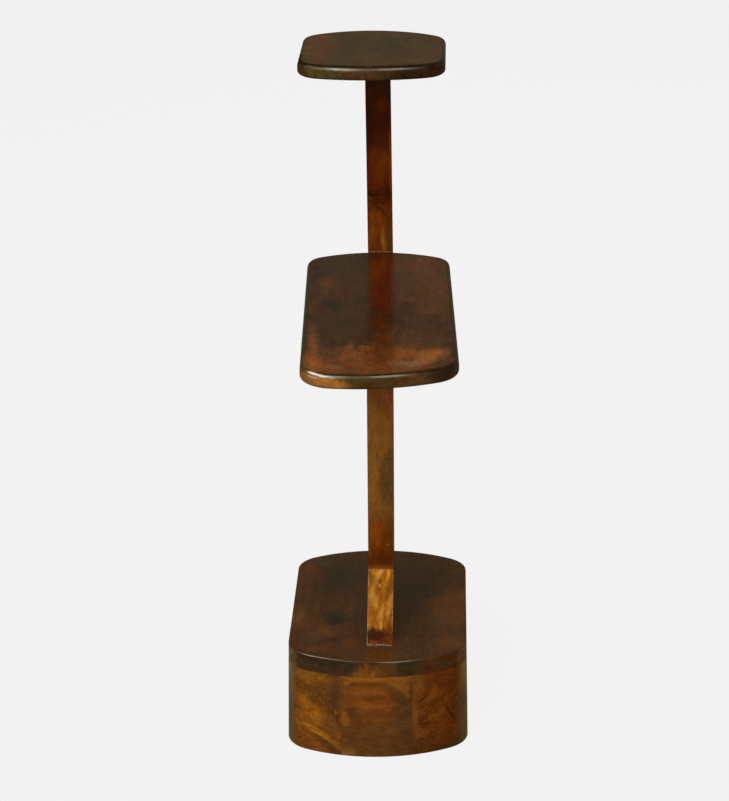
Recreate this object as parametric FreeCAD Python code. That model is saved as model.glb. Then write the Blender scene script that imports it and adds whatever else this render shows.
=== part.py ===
import FreeCAD, Part
import os
import math

# Tiered side table: a coopered, closed base box, a short post with a sloping
# foot brace, a long middle shelf carried on a bearer, and an upper post at the
# rear end of the bearer that carries a small top shelf.
# Millimetres. +Z up, +Y to the rear (the long way of the shelves), +X right.
# The origin is the centre of the base's underside.

V = FreeCAD.Vector

# ---------------------------------------------------------------- dimensions
# base box
BASE_H = 100.6            # floor to the top of the lid
LID_T = 16.6              # lid thickness
BASE_HALF_W = 86.7        # half width across the lid's top
BASE_HALF_L = 105.2       # corner line, from the centre, before the bowed ends
BASE_R_FRONT = 142.1      # bow of the front end
BASE_R_REAR = 138.9       # bow of the rear end
BASE_r_FRONT = 34.8       # rounded corners
BASE_r_REAR = 33.7
BASE_SKEW_FRONT = -3.4    # the front bow's centre sits off the middle
BASE_SKEW_REAR = -1.0
BASE_FLARE = 1.0186       # the foot outline is this much larger than the top
LID_ARRIS = 1.0           # softened top edge
WALL_T = 20.0             # staves and side boards
PANEL_T = 10.0            # bottom panel, flush with the walls' undersides
PANEL_REBATE = 8.0        # how far the panel runs into the walls
STAVE_X_LEFT = -34.5      # joints between the three staves of each end
STAVE_X_RIGHT = 34.1
SIDE_Y_FRONT = -76.0      # joints between end staves and side boards
SIDE_Y_REAR = 76.0

# glue blocks, cleat
BLOCK = 24.0
BLOCK_Z0, BLOCK_Z1 = PANEL_T, BASE_H - LID_T
CLEAT_W, CLEAT_Y0, CLEAT_Y1, CLEAT_T = 70.0, -103.0, 45.0, 20.0

# posts
POST_W = 24.8             # across, X
LOW_POST_X = 2.4          # centre line
LOW_POST_Y0 = -40.8       # front face
LOW_POST_D = 46.0         # depth, Y
UP_POST_Y0 = 247.0        # front face of the upper post, before the turn
UP_POST_D = 45.0
UP_POST_MORE = 1.7        # the upper post is this much wider, on its right
UP_POST_LEAN = 0.5        # degrees, towards -X going up
TENON_W, TENON_L, TENON_H = 12.0, 30.0, 10.0

# sloping foot brace in front of the lower post
BRACE_Y0 = -97.5          # toe
BRACE_TOE_H = 1.5
BRACE_TOP_Z = 156.3

# middle shelf
MID_TOP_Z = 395.4
MID_T = 15.0
MID_HALF_W = 74.4
MID_HALF_L = 175.4
MID_R_FRONT, MID_R_REAR = 172.4, 119.9
MID_r_FRONT, MID_r_REAR = 33.9, 25.2
MID_SKEW_FRONT, MID_SKEW_REAR = -18.5, -2.0
MID_X, MID_Y, MID_TURN = -0.3, 47.4, 1.68    # place, and degrees turned in plan

# bearer under the middle shelf
BEARER_H = 32.0
BEARER_TURN = 1.46        # degrees turned in plan, with the upper post

# top shelf
TOP_TOP_Z = 610.0
TOP_T = 15.0
TOP_HALF_W = 75.5
TOP_HALF_L = 64.9
TOP_R_FRONT, TOP_R_REAR = 180.1, 103.6
TOP_r_FRONT, TOP_r_REAR = 30.4, 28.4
TOP_SKEW_FRONT, TOP_SKEW_REAR = -4.1, -2.5
TOP_X, TOP_Y, TOP_TURN = -11.1, 257.4, -0.1

EDGE_TOP_R = 5.2          # rounded-over shelf edges
EDGE_BOT_R = 4.4

# fixings
DOWEL_R = 4.0
SCREW_R = 2.4
SCREW_HEAD_R = 4.6
PLUG_R = 5.0

os.makedirs("parts", exist_ok=True)


# ------------------------------------------------------------------- helpers
def plan_wire(a, s, r_big, r_small, skew, scale=1.0, inset=0.0, z=0.0):
    """Closed outline: straight sides at x = -a and +a, a bowed front end
    (towards -Y) and rear end (towards +Y), and rounded corners. s, r_big,
    r_small and skew are (front, rear) pairs."""
    halves = []
    for i, sgn in ((1, 1.0), (0, -1.0)):
        yc = s[i] - math.sqrt(r_big[i] ** 2 - a * a)
        aa = a - inset
        rb = r_big[i] - inset
        rs = max(r_small[i] - inset, 1.0)
        e = skew[i]
        data = {}
        for side in (1, -1):
            fx = side * (aa - rs)
            fy = yc + math.sqrt((rb - rs) ** 2 - (fx - e) ** 2)
            ang = math.atan2(fy - yc, fx - e)
            data[side] = (fx, fy, ang)
        fx, fy, ang = data[1]
        p_side_r = (aa, fy)
        mid_r = (fx + rs * math.cos(ang / 2), fy + rs * math.sin(ang / 2))
        p_arc_r = (fx + rs * math.cos(ang), fy + rs * math.sin(ang))
        fx2, fy2, ang2 = data[-1]
        am = (ang + ang2) / 2
        mid_arc = (e + rb * math.cos(am), yc + rb * math.sin(am))
        p_arc_l = (fx2 + rs * math.cos(ang2), fy2 + rs * math.sin(ang2))
        al = (ang2 + math.pi) / 2
        mid_l = (fx2 + rs * math.cos(al), fy2 + rs * math.sin(al))
        p_side_l = (-aa, fy2)
        pts = [p_side_r, mid_r, p_arc_r, mid_arc, p_arc_l, mid_l, p_side_l]
        pts = [(x * scale, y * sgn * scale) for x, y in pts]
        if sgn < 0:
            pts = pts[::-1]
        halves.append([V(x, y, z) for x, y in pts])
    rear, front = halves
    edges = []
    for h in (rear, front):
        edges.append(Part.Arc(h[0], h[1], h[2]).toShape())
        edges.append(Part.Arc(h[2], h[3], h[4]).toShape())
        edges.append(Part.Arc(h[4], h[5], h[6]).toShape())
        nxt = front if h is rear else rear
        edges.append(Part.LineSegment(h[6], nxt[0]).toShape())
    return Part.Wire(edges)


def base_wire(z, inset=0.0):
    k = BASE_FLARE + (1.0 - BASE_FLARE) * z / BASE_H
    return plan_wire(BASE_HALF_W, (BASE_HALF_L, BASE_HALF_L),
                     (BASE_R_FRONT, BASE_R_REAR), (BASE_r_FRONT, BASE_r_REAR),
                     (BASE_SKEW_FRONT, BASE_SKEW_REAR), k, inset, z)


def base_solid(z0, z1, inset=0.0):
    return Part.makeLoft([base_wire(z0, inset), base_wire(z1, inset)], True, True)


def straight_plan(z0, z1, inset):
    """Upright prism on the lid's outline, pulled in by inset."""
    w = plan_wire(BASE_HALF_W, (BASE_HALF_L, BASE_HALF_L),
                  (BASE_R_FRONT, BASE_R_REAR), (BASE_r_FRONT, BASE_r_REAR),
                  (BASE_SKEW_FRONT, BASE_SKEW_REAR), 1.0, inset, z0)
    return Part.Face(w).extrude(V(0, 0, z1 - z0))


def box(x0, x1, y0, y1, z0, z1):
    return Part.makeBox(x1 - x0, y1 - y0, z1 - z0, V(x0, y0, z0))


def rod(r, length, pos, axis):
    return Part.makeCylinder(r, length, V(*pos), V(*axis))


def dowel(r, length, pos, axis):
    """Dowel with a small chamfer on both ends."""
    d = rod(r, length, pos, axis)
    ends = [e for e in d.Edges if e.Closed and len(e.Vertexes) == 1
            and hasattr(e.Curve, "Radius")]
    try:
        c = d.makeChamfer(0.8, ends)
        if c.isValid():
            return c
    except Exception:
        pass
    return d


def screw(length, pos, axis):
    """Countersunk wood screw. pos is the middle of the head's flat face, axis
    points towards the tip."""
    a = V(*axis)
    a.normalize()
    head = Part.makeCone(SCREW_HEAD_R, SCREW_R, 3.4, V(*pos), a)
    shank = Part.makeCylinder(SCREW_R, length - 3.4 - 5.0, V(*pos) + a * 3.4, a)
    tip = Part.makeCone(SCREW_R, 0.4, 5.0, V(*pos) + a * (length - 5.0), a)
    s = head.fuse([shank, tip]).removeSplitter()
    # cross recess in the head
    for q in range(2):
        slot = Part.makeBox(5.0, 1.0, 1.6, V(-2.5, -0.5, 0.0))
        slot.rotate(V(0, 0, 0), V(0, 0, 1), 90 * q)
        slot.Placement = FreeCAD.Placement(
            V(*pos), FreeCAD.Rotation(V(0, 0, 1), a)).multiply(slot.Placement)
        s = s.cut(slot)
    return s


def screw_room(length, pos, axis):
    """The space a screw takes in the wood, without the head's recess."""
    a = V(*axis)
    a.normalize()
    head = Part.makeCone(SCREW_HEAD_R, SCREW_R, 3.4, V(*pos), a)
    shank = Part.makeCylinder(SCREW_R, length - 3.4 - 5.0, V(*pos) + a * 3.4, a)
    tip = Part.makeCone(SCREW_R, 0.4, 5.0, V(*pos) + a * (length - 5.0), a)
    return head.fuse([shank, tip]).removeSplitter()


def turned(shape, centre, degrees):
    s = shape.copy()
    s.rotate(V(*centre), V(0, 0, 1), degrees)
    return s


def shelf(a, s, r_big, r_small, skew, t, top_z, x, y, turn):
    w = plan_wire(a, (s, s), r_big, r_small, skew, 1.0, 0.0, 0.0)
    solid = Part.Face(w).extrude(V(0, 0, t))
    top = [e for e in solid.Edges
           if all(abs(v.Z - t) < 1e-6 for v in e.Vertexes)]
    solid = solid.makeFillet(EDGE_TOP_R, top)
    bot = [e for e in solid.Edges
           if all(abs(v.Z) < 1e-6 for v in e.Vertexes)]
    solid = solid.makeFillet(EDGE_BOT_R, bot)
    solid.translate(V(0, 0, top_z - t))
    solid.rotate(V(0, 0, 0), V(0, 0, 1), turn)
    solid.translate(V(x, y, 0))
    return solid


def solids_of(shape):
    return list(shape.Solids)


nodes = {}

# ------------------------------------------------------------------ the base
Z_LID = BASE_H - LID_T
body = base_solid(0.0, Z_LID)
cavity = straight_plan(-1.0, Z_LID + 1.0, WALL_T)
panel = straight_plan(0.0, PANEL_T, WALL_T - PANEL_REBATE)
walls = body.cut(cavity).cut(panel)

BIG = 400.0
cells = {
    "front_stave_left": box(-BIG, STAVE_X_LEFT, -BIG, SIDE_Y_FRONT, -5, 200),
    "front_stave_centre": box(STAVE_X_LEFT, STAVE_X_RIGHT, -BIG, SIDE_Y_FRONT, -5, 200),
    "front_stave_right": box(STAVE_X_RIGHT, BIG, -BIG, SIDE_Y_FRONT, -5, 200),
    "rear_stave_left": box(-BIG, STAVE_X_LEFT, SIDE_Y_REAR, BIG, -5, 200),
    "rear_stave_centre": box(STAVE_X_LEFT, STAVE_X_RIGHT, SIDE_Y_REAR, BIG, -5, 200),
    "rear_stave_right": box(STAVE_X_RIGHT, BIG, SIDE_Y_REAR, BIG, -5, 200),
    "side_board_left": box(-BIG, 0, SIDE_Y_FRONT, SIDE_Y_REAR, -5, 200),
    "side_board_right": box(0, BIG, SIDE_Y_FRONT, SIDE_Y_REAR, -5, 200),
}
for name, cell in cells.items():
    nodes[name] = walls.common(cell)
nodes["bottom_panel"] = panel

# lid: full plan, softened top arris
lid = Part.makeLoft([
    base_wire(Z_LID),
    base_wire(BASE_H - LID_ARRIS),
    base_wire(BASE_H - LID_ARRIS * 0.29, LID_ARRIS * 0.29),
    base_wire(BASE_H, LID_ARRIS),
], True, True)

# four glue blocks in the corners between side boards and end staves
cx = BASE_HALF_W - WALL_T
blocks = []
for sx in (-1, 1):
    for y0 in (-84.0, 84.0 - BLOCK):
        x0 = cx - BLOCK if sx > 0 else -cx
        blocks.append(box(x0, x0 + BLOCK, y0, y0 + BLOCK, BLOCK_Z0, BLOCK_Z1))

# cleat glued under the lid below the post and the brace
cleat = box(LOW_POST_X - CLEAT_W / 2, LOW_POST_X + CLEAT_W / 2,
            CLEAT_Y0, CLEAT_Y1, Z_LID - CLEAT_T, Z_LID)

# dowels between the walls and the lid
lid_dowels = []
for x, y in ((-76.7, -40), (-76.7, 40), (76.7, -40), (76.7, 40),
             (-18, -122.5), (18, -122.5), (-18, 123), (18, 123)):
    lid_dowels.append(dowel(DOWEL_R, 34.0, (x, y, Z_LID - 24.0), (0, 0, 1)))

# screws through the bottom panel into the glue blocks
panel_screws, panel_rooms = [], []
for sx in (-1, 1):
    for y in (-72.0, 72.0):
        p = (sx * (cx - BLOCK / 2), y, 0.3)
        panel_screws.append(screw(30.0, p, (0, 0, 1)))
        panel_rooms.append(screw_room(30.0, p, (0, 0, 1)))
        panel_rooms.append(rod(SCREW_HEAD_R, 0.4, (p[0], p[1], -0.1), (0, 0, 1)))

# ---------------------------------------------------------------- lower post
Z_ARM0 = MID_TOP_Z - MID_T - BEARER_H
Z_ARM1 = MID_TOP_Z - MID_T
px0, px1 = LOW_POST_X - POST_W / 2, LOW_POST_X + POST_W / 2
py0, py1 = LOW_POST_Y0, LOW_POST_Y0 + LOW_POST_D
pyc = (py0 + py1) / 2


def eased(shape, r, pick):
    """Softened long edges."""
    es = [e for e in shape.Edges if pick(e)]
    try:
        s = shape.makeFillet(r, es)
        if s.isValid():
            return s
    except Exception:
        pass
    return shape


def upright(e):
    v = e.Vertexes
    return (len(v) == 2 and abs(v[0].X - v[1].X) < 1e-6
            and abs(v[0].Y - v[1].Y) < 1e-6)


low = box(px0, px1, py0, py1, BASE_H, Z_ARM0)
low = eased(low, 1.0, upright)
tenon_low = box(LOW_POST_X - TENON_W / 2, LOW_POST_X + TENON_W / 2,
                pyc - TENON_L / 2, pyc + TENON_L / 2, BASE_H - TENON_H, BASE_H + 1)
tenon_top = box(LOW_POST_X - TENON_W / 2, LOW_POST_X + TENON_W / 2,
                pyc - TENON_L / 2, pyc + TENON_L / 2, Z_ARM0 - 1, Z_ARM0 + 20.0)
low = low.fuse([tenon_low, tenon_top]).removeSplitter()
lid = lid.cut(box(LOW_POST_X - TENON_W / 2, LOW_POST_X + TENON_W / 2,
                  pyc - TENON_L / 2, pyc + TENON_L / 2, BASE_H - TENON_H, BASE_H + 1))

# two long screws and washers from inside the base up into the post
post_screws, post_rooms, washers = [], [], []
for y in (pyc - 8.5, pyc + 8.5):
    z_head = Z_LID - CLEAT_T - 1.6
    post_screws.append(screw(90.0, (LOW_POST_X, y, z_head), (0, 0, 1)))
    post_rooms.append(screw_room(90.0, (LOW_POST_X, y, z_head), (0, 0, 1)))
    w = rod(8.0, 1.6, (LOW_POST_X, y, z_head), (0, 0, 1))
    washers.append(w.cut(post_rooms[-1]))

# ------------------------------------------------------------ sloping brace
prof = [V(px0, BRACE_Y0, BASE_H), V(px0, py0, BASE_H),
        V(px0, py0, BRACE_TOP_Z), V(px0, py0 - 1.0, BRACE_TOP_Z),
        V(px0, BRACE_Y0, BASE_H + BRACE_TOE_H)]
brace = Part.Face(Part.makePolygon(prof + [prof[0]])).extrude(V(POST_W, 0, 0))
brace_dowels = [
    dowel(DOWEL_R, 24.0, (LOW_POST_X, BRACE_Y0 + 22.0, BASE_H - 12.0), (0, 0, 1)),
    dowel(DOWEL_R, 30.0, (LOW_POST_X, BRACE_Y0 + 46.0, BASE_H - 12.0), (0, 0, 1)),
    dowel(DOWEL_R, 26.0, (LOW_POST_X, py0 - 15.0, BASE_H + 30.0), (0, 1, 0)),
]

# ------------------------------------------- bearer under the middle shelf
PIV = (LOW_POST_X, pyc, 0.0)          # the bearer turns in plan about the post
UP_Y0 = UP_POST_Y0
bearer = box(px0, px1, py0, UP_Y0, Z_ARM0, Z_ARM1)
bearer_tenon = box(LOW_POST_X - TENON_W / 2, LOW_POST_X + TENON_W / 2,
                   UP_Y0 - 1, UP_Y0 + 28.0, Z_ARM0 + 6.0, Z_ARM1 - 6.0)
bearer = bearer.fuse(bearer_tenon).removeSplitter()
bearer = turned(bearer, PIV, BEARER_TURN)
bearer = bearer.cut(tenon_top)

mid = shelf(MID_HALF_W, MID_HALF_L, (MID_R_FRONT, MID_R_REAR),
            (MID_r_FRONT, MID_r_REAR), (MID_SKEW_FRONT, MID_SKEW_REAR),
            MID_T, MID_TOP_Z, MID_X, MID_Y, MID_TURN)

# four screws up through the bearer into the shelf, heads sunk 10 mm
shelf_screws = []
for y in (22.0, 84.0, 146.0, 208.0):
    x = LOW_POST_X
    p = V(x, y, Z_ARM0 + 10.0)
    q = FreeCAD.Rotation(V(0, 0, 1), BEARER_TURN).multVec(p - V(*PIV)) + V(*PIV)
    pos = (q.x, q.y, p.z)
    shelf_screws.append(screw(32.0, pos, (0, 0, 1)))
    room = screw_room(32.0, pos, (0, 0, 1))
    sink = rod(SCREW_HEAD_R, 10.2, (q.x, q.y, Z_ARM0 - 0.1), (0, 0, 1))
    bearer = bearer.cut(room).cut(sink)
    mid = mid.cut(room)

# ---------------------------------------------------------------- upper post
Z_TOP0 = TOP_TOP_Z - TOP_T
up = box(px0, px1 + UP_POST_MORE, UP_Y0, UP_Y0 + UP_POST_D, Z_ARM0 - 20.0, Z_TOP0 + 20.0)
up = eased(up, 1.0, upright)
up.rotate(V(LOW_POST_X, UP_Y0, Z_ARM0), V(0, 1, 0), -UP_POST_LEAN)
up = turned(up, PIV, BEARER_TURN)
up = up.common(box(-BIG, BIG, -BIG, BIG, Z_ARM0, Z_TOP0))
up = up.cut(bearer)
up = up.cut(mid)
upc = up.BoundBox

# two screws from the rear, one into the bearer's end and one into the shelf's
# end, under wooden plugs
rear_screws, rear_plugs = [], []
ydir = FreeCAD.Rotation(V(0, 0, 1), BEARER_TURN).multVec(V(0, -1, 0))
for z, length in ((Z_ARM0 + 16.0, 62.0), (Z_ARM1 + MID_T / 2, 62.0)):
    lean = math.tan(math.radians(UP_POST_LEAN)) * (z - Z_ARM0)
    p = V(LOW_POST_X - lean, UP_Y0 + UP_POST_D - 9.0, z)
    q = FreeCAD.Rotation(V(0, 0, 1), BEARER_TURN).multVec(p - V(*PIV)) + V(*PIV)
    q.z = z
    s = screw(length, (q.x, q.y, q.z), (ydir.x, ydir.y, 0))
    room = screw_room(length, (q.x, q.y, q.z), (ydir.x, ydir.y, 0))
    hole = Part.makeCylinder(PLUG_R, 20.0, q, ydir * -1.0)
    plug = Part.makeCylinder(PLUG_R, 9.0, q, ydir * -1.0)
    rear_screws.append(s)
    rear_plugs.append(plug)
    up = up.cut(room).cut(hole)
    bearer = bearer.cut(room)
    mid = mid.cut(room)

# ------------------------------------------------------------------ top shelf
top = shelf(TOP_HALF_W, TOP_HALF_L, (TOP_R_FRONT, TOP_R_REAR),
            (TOP_r_FRONT, TOP_r_REAR), (TOP_SKEW_FRONT, TOP_SKEW_REAR),
            TOP_T, TOP_TOP_Z, TOP_X, TOP_Y, TOP_TURN)
top_dowels = []
lean_top = math.tan(math.radians(UP_POST_LEAN)) * (Z_TOP0 - Z_ARM0)
for dy in (12.0, 33.0):
    p = V(LOW_POST_X - lean_top, UP_Y0 + dy, 0)
    q = FreeCAD.Rotation(V(0, 0, 1), BEARER_TURN).multVec(p - V(*PIV)) + V(*PIV)
    top_dowels.append(dowel(5.0, 46.0, (q.x, q.y, Z_TOP0 - 35.0), (0, 0, 1)))

# ------------------------------------------------------- holes for the fixings
for d in lid_dowels:
    lid = lid.cut(d)
    for name in cells:
        nodes[name] = nodes[name].cut(d)
for r in panel_rooms:
    nodes["bottom_panel"] = nodes["bottom_panel"].cut(r)
    blocks = [b.cut(r) for b in blocks]
for r in post_rooms:
    cleat = cleat.cut(r)
    lid = lid.cut(r)
    low = low.cut(r)
for d in brace_dowels:
    lid = lid.cut(d)
    cleat = cleat.cut(d)
    brace = brace.cut(d)
    low = low.cut(d)
for d in top_dowels:
    top = top.cut(d)
    up = up.cut(d)
for name in cells:
    for b in blocks:
        nodes[name] = nodes[name].cut(b)
    nodes[name] = nodes[name].cut(cleat)
cleat = cleat.cut(Part.makeCompound(blocks))

nodes["base_lid"] = lid
nodes["glue_blocks"] = Part.makeCompound(blocks)
nodes["lid_cleat"] = cleat
nodes["lid_dowels"] = Part.makeCompound(lid_dowels)
nodes["bottom_panel_screws"] = Part.makeCompound(panel_screws)
nodes["lower_post"] = low
nodes["lower_post_screws"] = Part.makeCompound(post_screws)
nodes["lower_post_washers"] = Part.makeCompound(washers)
nodes["foot_brace"] = brace
nodes["foot_brace_dowels"] = Part.makeCompound(brace_dowels)
nodes["shelf_bearer"] = bearer
nodes["middle_shelf"] = mid
nodes["middle_shelf_screws"] = Part.makeCompound(shelf_screws)
nodes["upper_post"] = up
nodes["upper_post_screws"] = Part.makeCompound(rear_screws)
nodes["upper_post_plugs"] = Part.makeCompound(rear_plugs)
nodes["top_shelf"] = top
nodes["top_shelf_dowels"] = Part.makeCompound(top_dowels)

total = None
for name, shape in nodes.items():
    ss = solids_of(shape)
    ok = all(s.isValid() and s.Volume > 0 for s in ss)
    out = ss[0] if len(ss) == 1 else Part.makeCompound(ss)
    bb = out.BoundBox
    print("%-22s solids %d valid %s volume %.1f cm3  x %.1f..%.1f y %.1f..%.1f z %.1f..%.1f"
          % (name, len(ss), ok, sum(s.Volume for s in ss) / 1000.0, bb.XMin,
             bb.XMax, bb.YMin, bb.YMax, bb.ZMin, bb.ZMax))
    out.exportStep("parts/%s.step" % name)
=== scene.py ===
import bpy, bmesh, math, random
from mathutils import Vector, Matrix


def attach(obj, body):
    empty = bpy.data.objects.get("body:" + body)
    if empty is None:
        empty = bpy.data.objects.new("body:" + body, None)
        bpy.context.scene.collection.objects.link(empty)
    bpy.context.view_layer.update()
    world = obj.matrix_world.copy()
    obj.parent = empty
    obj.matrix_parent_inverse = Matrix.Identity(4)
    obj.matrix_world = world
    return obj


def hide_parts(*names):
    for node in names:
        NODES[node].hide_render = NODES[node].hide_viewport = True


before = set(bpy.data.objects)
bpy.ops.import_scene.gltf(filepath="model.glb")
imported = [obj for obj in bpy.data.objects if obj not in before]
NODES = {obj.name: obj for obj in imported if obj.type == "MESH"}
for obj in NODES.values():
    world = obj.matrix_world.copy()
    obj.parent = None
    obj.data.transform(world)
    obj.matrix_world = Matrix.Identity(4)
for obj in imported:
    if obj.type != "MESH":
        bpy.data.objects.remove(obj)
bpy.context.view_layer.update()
MM = 0.001

# =====================================================================
# camera
# =====================================================================
PITCH, YAW, ROLL = math.radians(20.0), -0.03453490, -0.00870155
fwd = Vector((math.sin(YAW) * math.cos(PITCH), math.cos(YAW) * math.cos(PITCH), -math.sin(PITCH)))
right0 = Vector((math.cos(YAW), -math.sin(YAW), 0.0))
up0 = right0.cross(fwd)
cam_right = right0 * math.cos(ROLL) + up0 * math.sin(ROLL)
cam_up = -right0 * math.sin(ROLL) + up0 * math.cos(ROLL)
cam_data = bpy.data.cameras.new("camera")
cam_data.sensor_fit = "AUTO"
cam_data.sensor_width = 36.0
cam_data.lens = 2600.0 * 36.0 / 801.0
cam_data.clip_start, cam_data.clip_end = 0.05, 100.0
cam = bpy.data.objects.new("camera", cam_data)
bpy.context.scene.collection.objects.link(cam)
m = Matrix.Identity(4)
for i, axis in enumerate((cam_right, cam_up, -fwd)):
    for j in range(3):
        m[j][i] = axis[j]
m.translation = Vector((0.06878, -2.38687, 1.18722))
cam.matrix_world = m
bpy.context.scene.camera = cam

scene = bpy.context.scene
scene.view_settings.view_transform = "Standard"
scene.view_settings.look = "None"
scene.view_settings.exposure = 0.0
scene.view_settings.gamma = 1.0


# =====================================================================
# mesh helpers (all in millimetres until finish_mesh)
# =====================================================================
def finish_mesh(bm, name, sharp=35.0, weighted=True):
    bmesh.ops.recalc_face_normals(bm, faces=bm.faces)
    me = bpy.data.meshes.new(name)
    bm.to_mesh(me)
    bm.free()
    me.transform(Matrix.Scale(MM, 4))
    for p in me.polygons:
        p.use_smooth = True
    me.set_sharp_from_angle(angle=math.radians(sharp))
    ob = bpy.data.objects.new(name, me)
    scene.collection.objects.link(ob)
    if weighted:
        wn = ob.modifiers.new("normals", "WEIGHTED_NORMAL")
        wn.keep_sharp = True
        wn.weight = 80
        bake_modifiers(ob)
    return ob


def bake_modifiers(ob):
    dg = bpy.context.evaluated_depsgraph_get()
    dg.update()
    me = bpy.data.meshes.new_from_object(ob.evaluated_get(dg), preserve_all_data_layers=True, depsgraph=dg)
    old = ob.data
    ob.modifiers.clear()
    ob.data = me
    bpy.data.meshes.remove(old)
    me.name = ob.name


def plan(a, s, R, r, skew, scale=1.0, inset=0.0, n_side=26, n_corner=12, n_bow=28):
    """Closed outline, counter-clockwise from the middle of the rear bow, with
    the same number of points on the left and the right. R, r and skew are
    (front, rear)."""
    def half(i, side):
        # points from the bow's middle to the straight side, y outwards positive
        yc = s - math.sqrt(R[i] ** 2 - a * a)
        aa, rb, rs, e = a - inset, R[i] - inset, max(r[i] - inset, 1.0), skew[i]
        fx = side * (aa - rs)
        fy = yc + math.sqrt((rb - rs) ** 2 - (fx - e) ** 2)
        ang = math.atan2(fy - yc, fx - e)
        # middle of the bow, shared by both halves
        angs = []
        for sd in (1, -1):
            gx = sd * (aa - rs)
            gy = yc + math.sqrt((rb - rs) ** 2 - (gx - e) ** 2)
            angs.append(math.atan2(gy - yc, gx - e))
        mid = sum(angs) / 2
        pts = []
        for k in range(n_bow):
            t = mid + (ang - mid) * k / n_bow
            pts.append((e + rb * math.cos(t), yc + rb * math.sin(t)))
        end = 0.0 if side > 0 else math.pi
        for k in range(n_corner + 1):
            t = ang + (end - ang) * k / n_corner
            pts.append((fx + rs * math.cos(t), fy + rs * math.sin(t)))
        return pts

    def side_pts(p, q):
        return [(p[0] + (q[0] - p[0]) * k / n_side, p[1] + (q[1] - p[1]) * k / n_side) for k in range(1, n_side)]

    rl, rr = half(1, -1), half(1, 1)
    fl = [(x, -y) for x, y in half(0, -1)]
    fr = [(x, -y) for x, y in half(0, 1)]
    left = rl + side_pts(rl[-1], fl[-1]) + fl[::-1]          # rear middle .. front middle
    right = rr + side_pts(rr[-1], fr[-1]) + fr[::-1]
    ring = left + right[1:-1][::-1]
    return [(x * scale, y * scale) for x, y in ring]


def add_ring(bm, pts, z):
    return [bm.verts.new((x, y, z)) for x, y in pts]


def bridge(bm, lower, upper):
    n = len(lower)
    for i in range(n):
        j = (i + 1) % n
        bm.faces.new((lower[i], lower[j], upper[j], upper[i]))


def cap(bm, ring, cols=14):
    """Fills a ring with a grid of rows that run from its left to its right."""
    m_ = len(ring) // 2
    rows = []
    for i in range(1, m_):
        a, b = ring[i], ring[2 * m_ - i]
        row = [a]
        for k in range(1, cols):
            row.append(bm.verts.new(a.co.lerp(b.co, k / cols)))
        row.append(b)
        rows.append(row)
    for r0, r1 in zip(rows, rows[1:]):
        for k in range(cols):
            bm.faces.new((r0[k], r1[k], r1[k + 1], r0[k + 1]))
    for k in range(cols):
        bm.faces.new((ring[0], rows[0][k], rows[0][k + 1]))
        bm.faces.new((rows[-1][k], ring[m_], rows[-1][k + 1]))


def box_bm(x0, x1, y0, y1, z0, z1, cuts_z=1):
    bm = bmesh.new()
    levels = []
    for k in range(cuts_z + 1):
        z = z0 + (z1 - z0) * k / cuts_z
        levels.append([bm.verts.new(p) for p in ((x0, y0, z), (x1, y0, z), (x1, y1, z), (x0, y1, z))])
    for a, b in zip(levels, levels[1:]):
        bridge(bm, a, b)
    bm.faces.new(levels[0][::-1])
    bm.faces.new(levels[-1])
    return bm


def bevel_object(ob, width, segments=3, angle=40.0):
    b = ob.modifiers.new("bevel", "BEVEL")
    b.width = width * MM
    b.segments = segments
    b.limit_method = "ANGLE"
    b.angle_limit = math.radians(angle)
    b.profile = 0.5
    b.harden_normals = True
    bake_modifiers(ob)
    return ob


def drill(ob, holes):
    """Cuts round holes. holes: (radius, point, axis, length) in millimetres."""
    for i, (r, p, ax, length) in enumerate(holes):
        bm = bmesh.new()
        bmesh.ops.create_cone(bm, cap_ends=True, segments=48, radius1=r, radius2=r, depth=length)
        rot = Vector((0, 0, 1)).rotation_difference(Vector(ax)).to_matrix().to_4x4()
        bmesh.ops.transform(bm, matrix=Matrix.Translation(Vector(p) + Vector(ax) * length / 2) @ rot, verts=bm.verts)
        cutter = finish_mesh(bm, "cutter_%d" % i, weighted=False)
        md = ob.modifiers.new("cut", "BOOLEAN")
        md.operation = "DIFFERENCE"
        md.solver = "EXACT"
        md.object = cutter
        bake_modifiers(ob)
        bpy.data.objects.remove(cutter)


def place(ob, *replaced, slot=None):
    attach(ob, "root")
    if replaced:
        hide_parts(*replaced)
    return ob


# =====================================================================
# node helpers for the materials
# =====================================================================
def lin(c):
    c = c / 255.0
    return c / 12.92 if c <= 0.04045 else ((c + 0.055) / 1.055) ** 2.4


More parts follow.
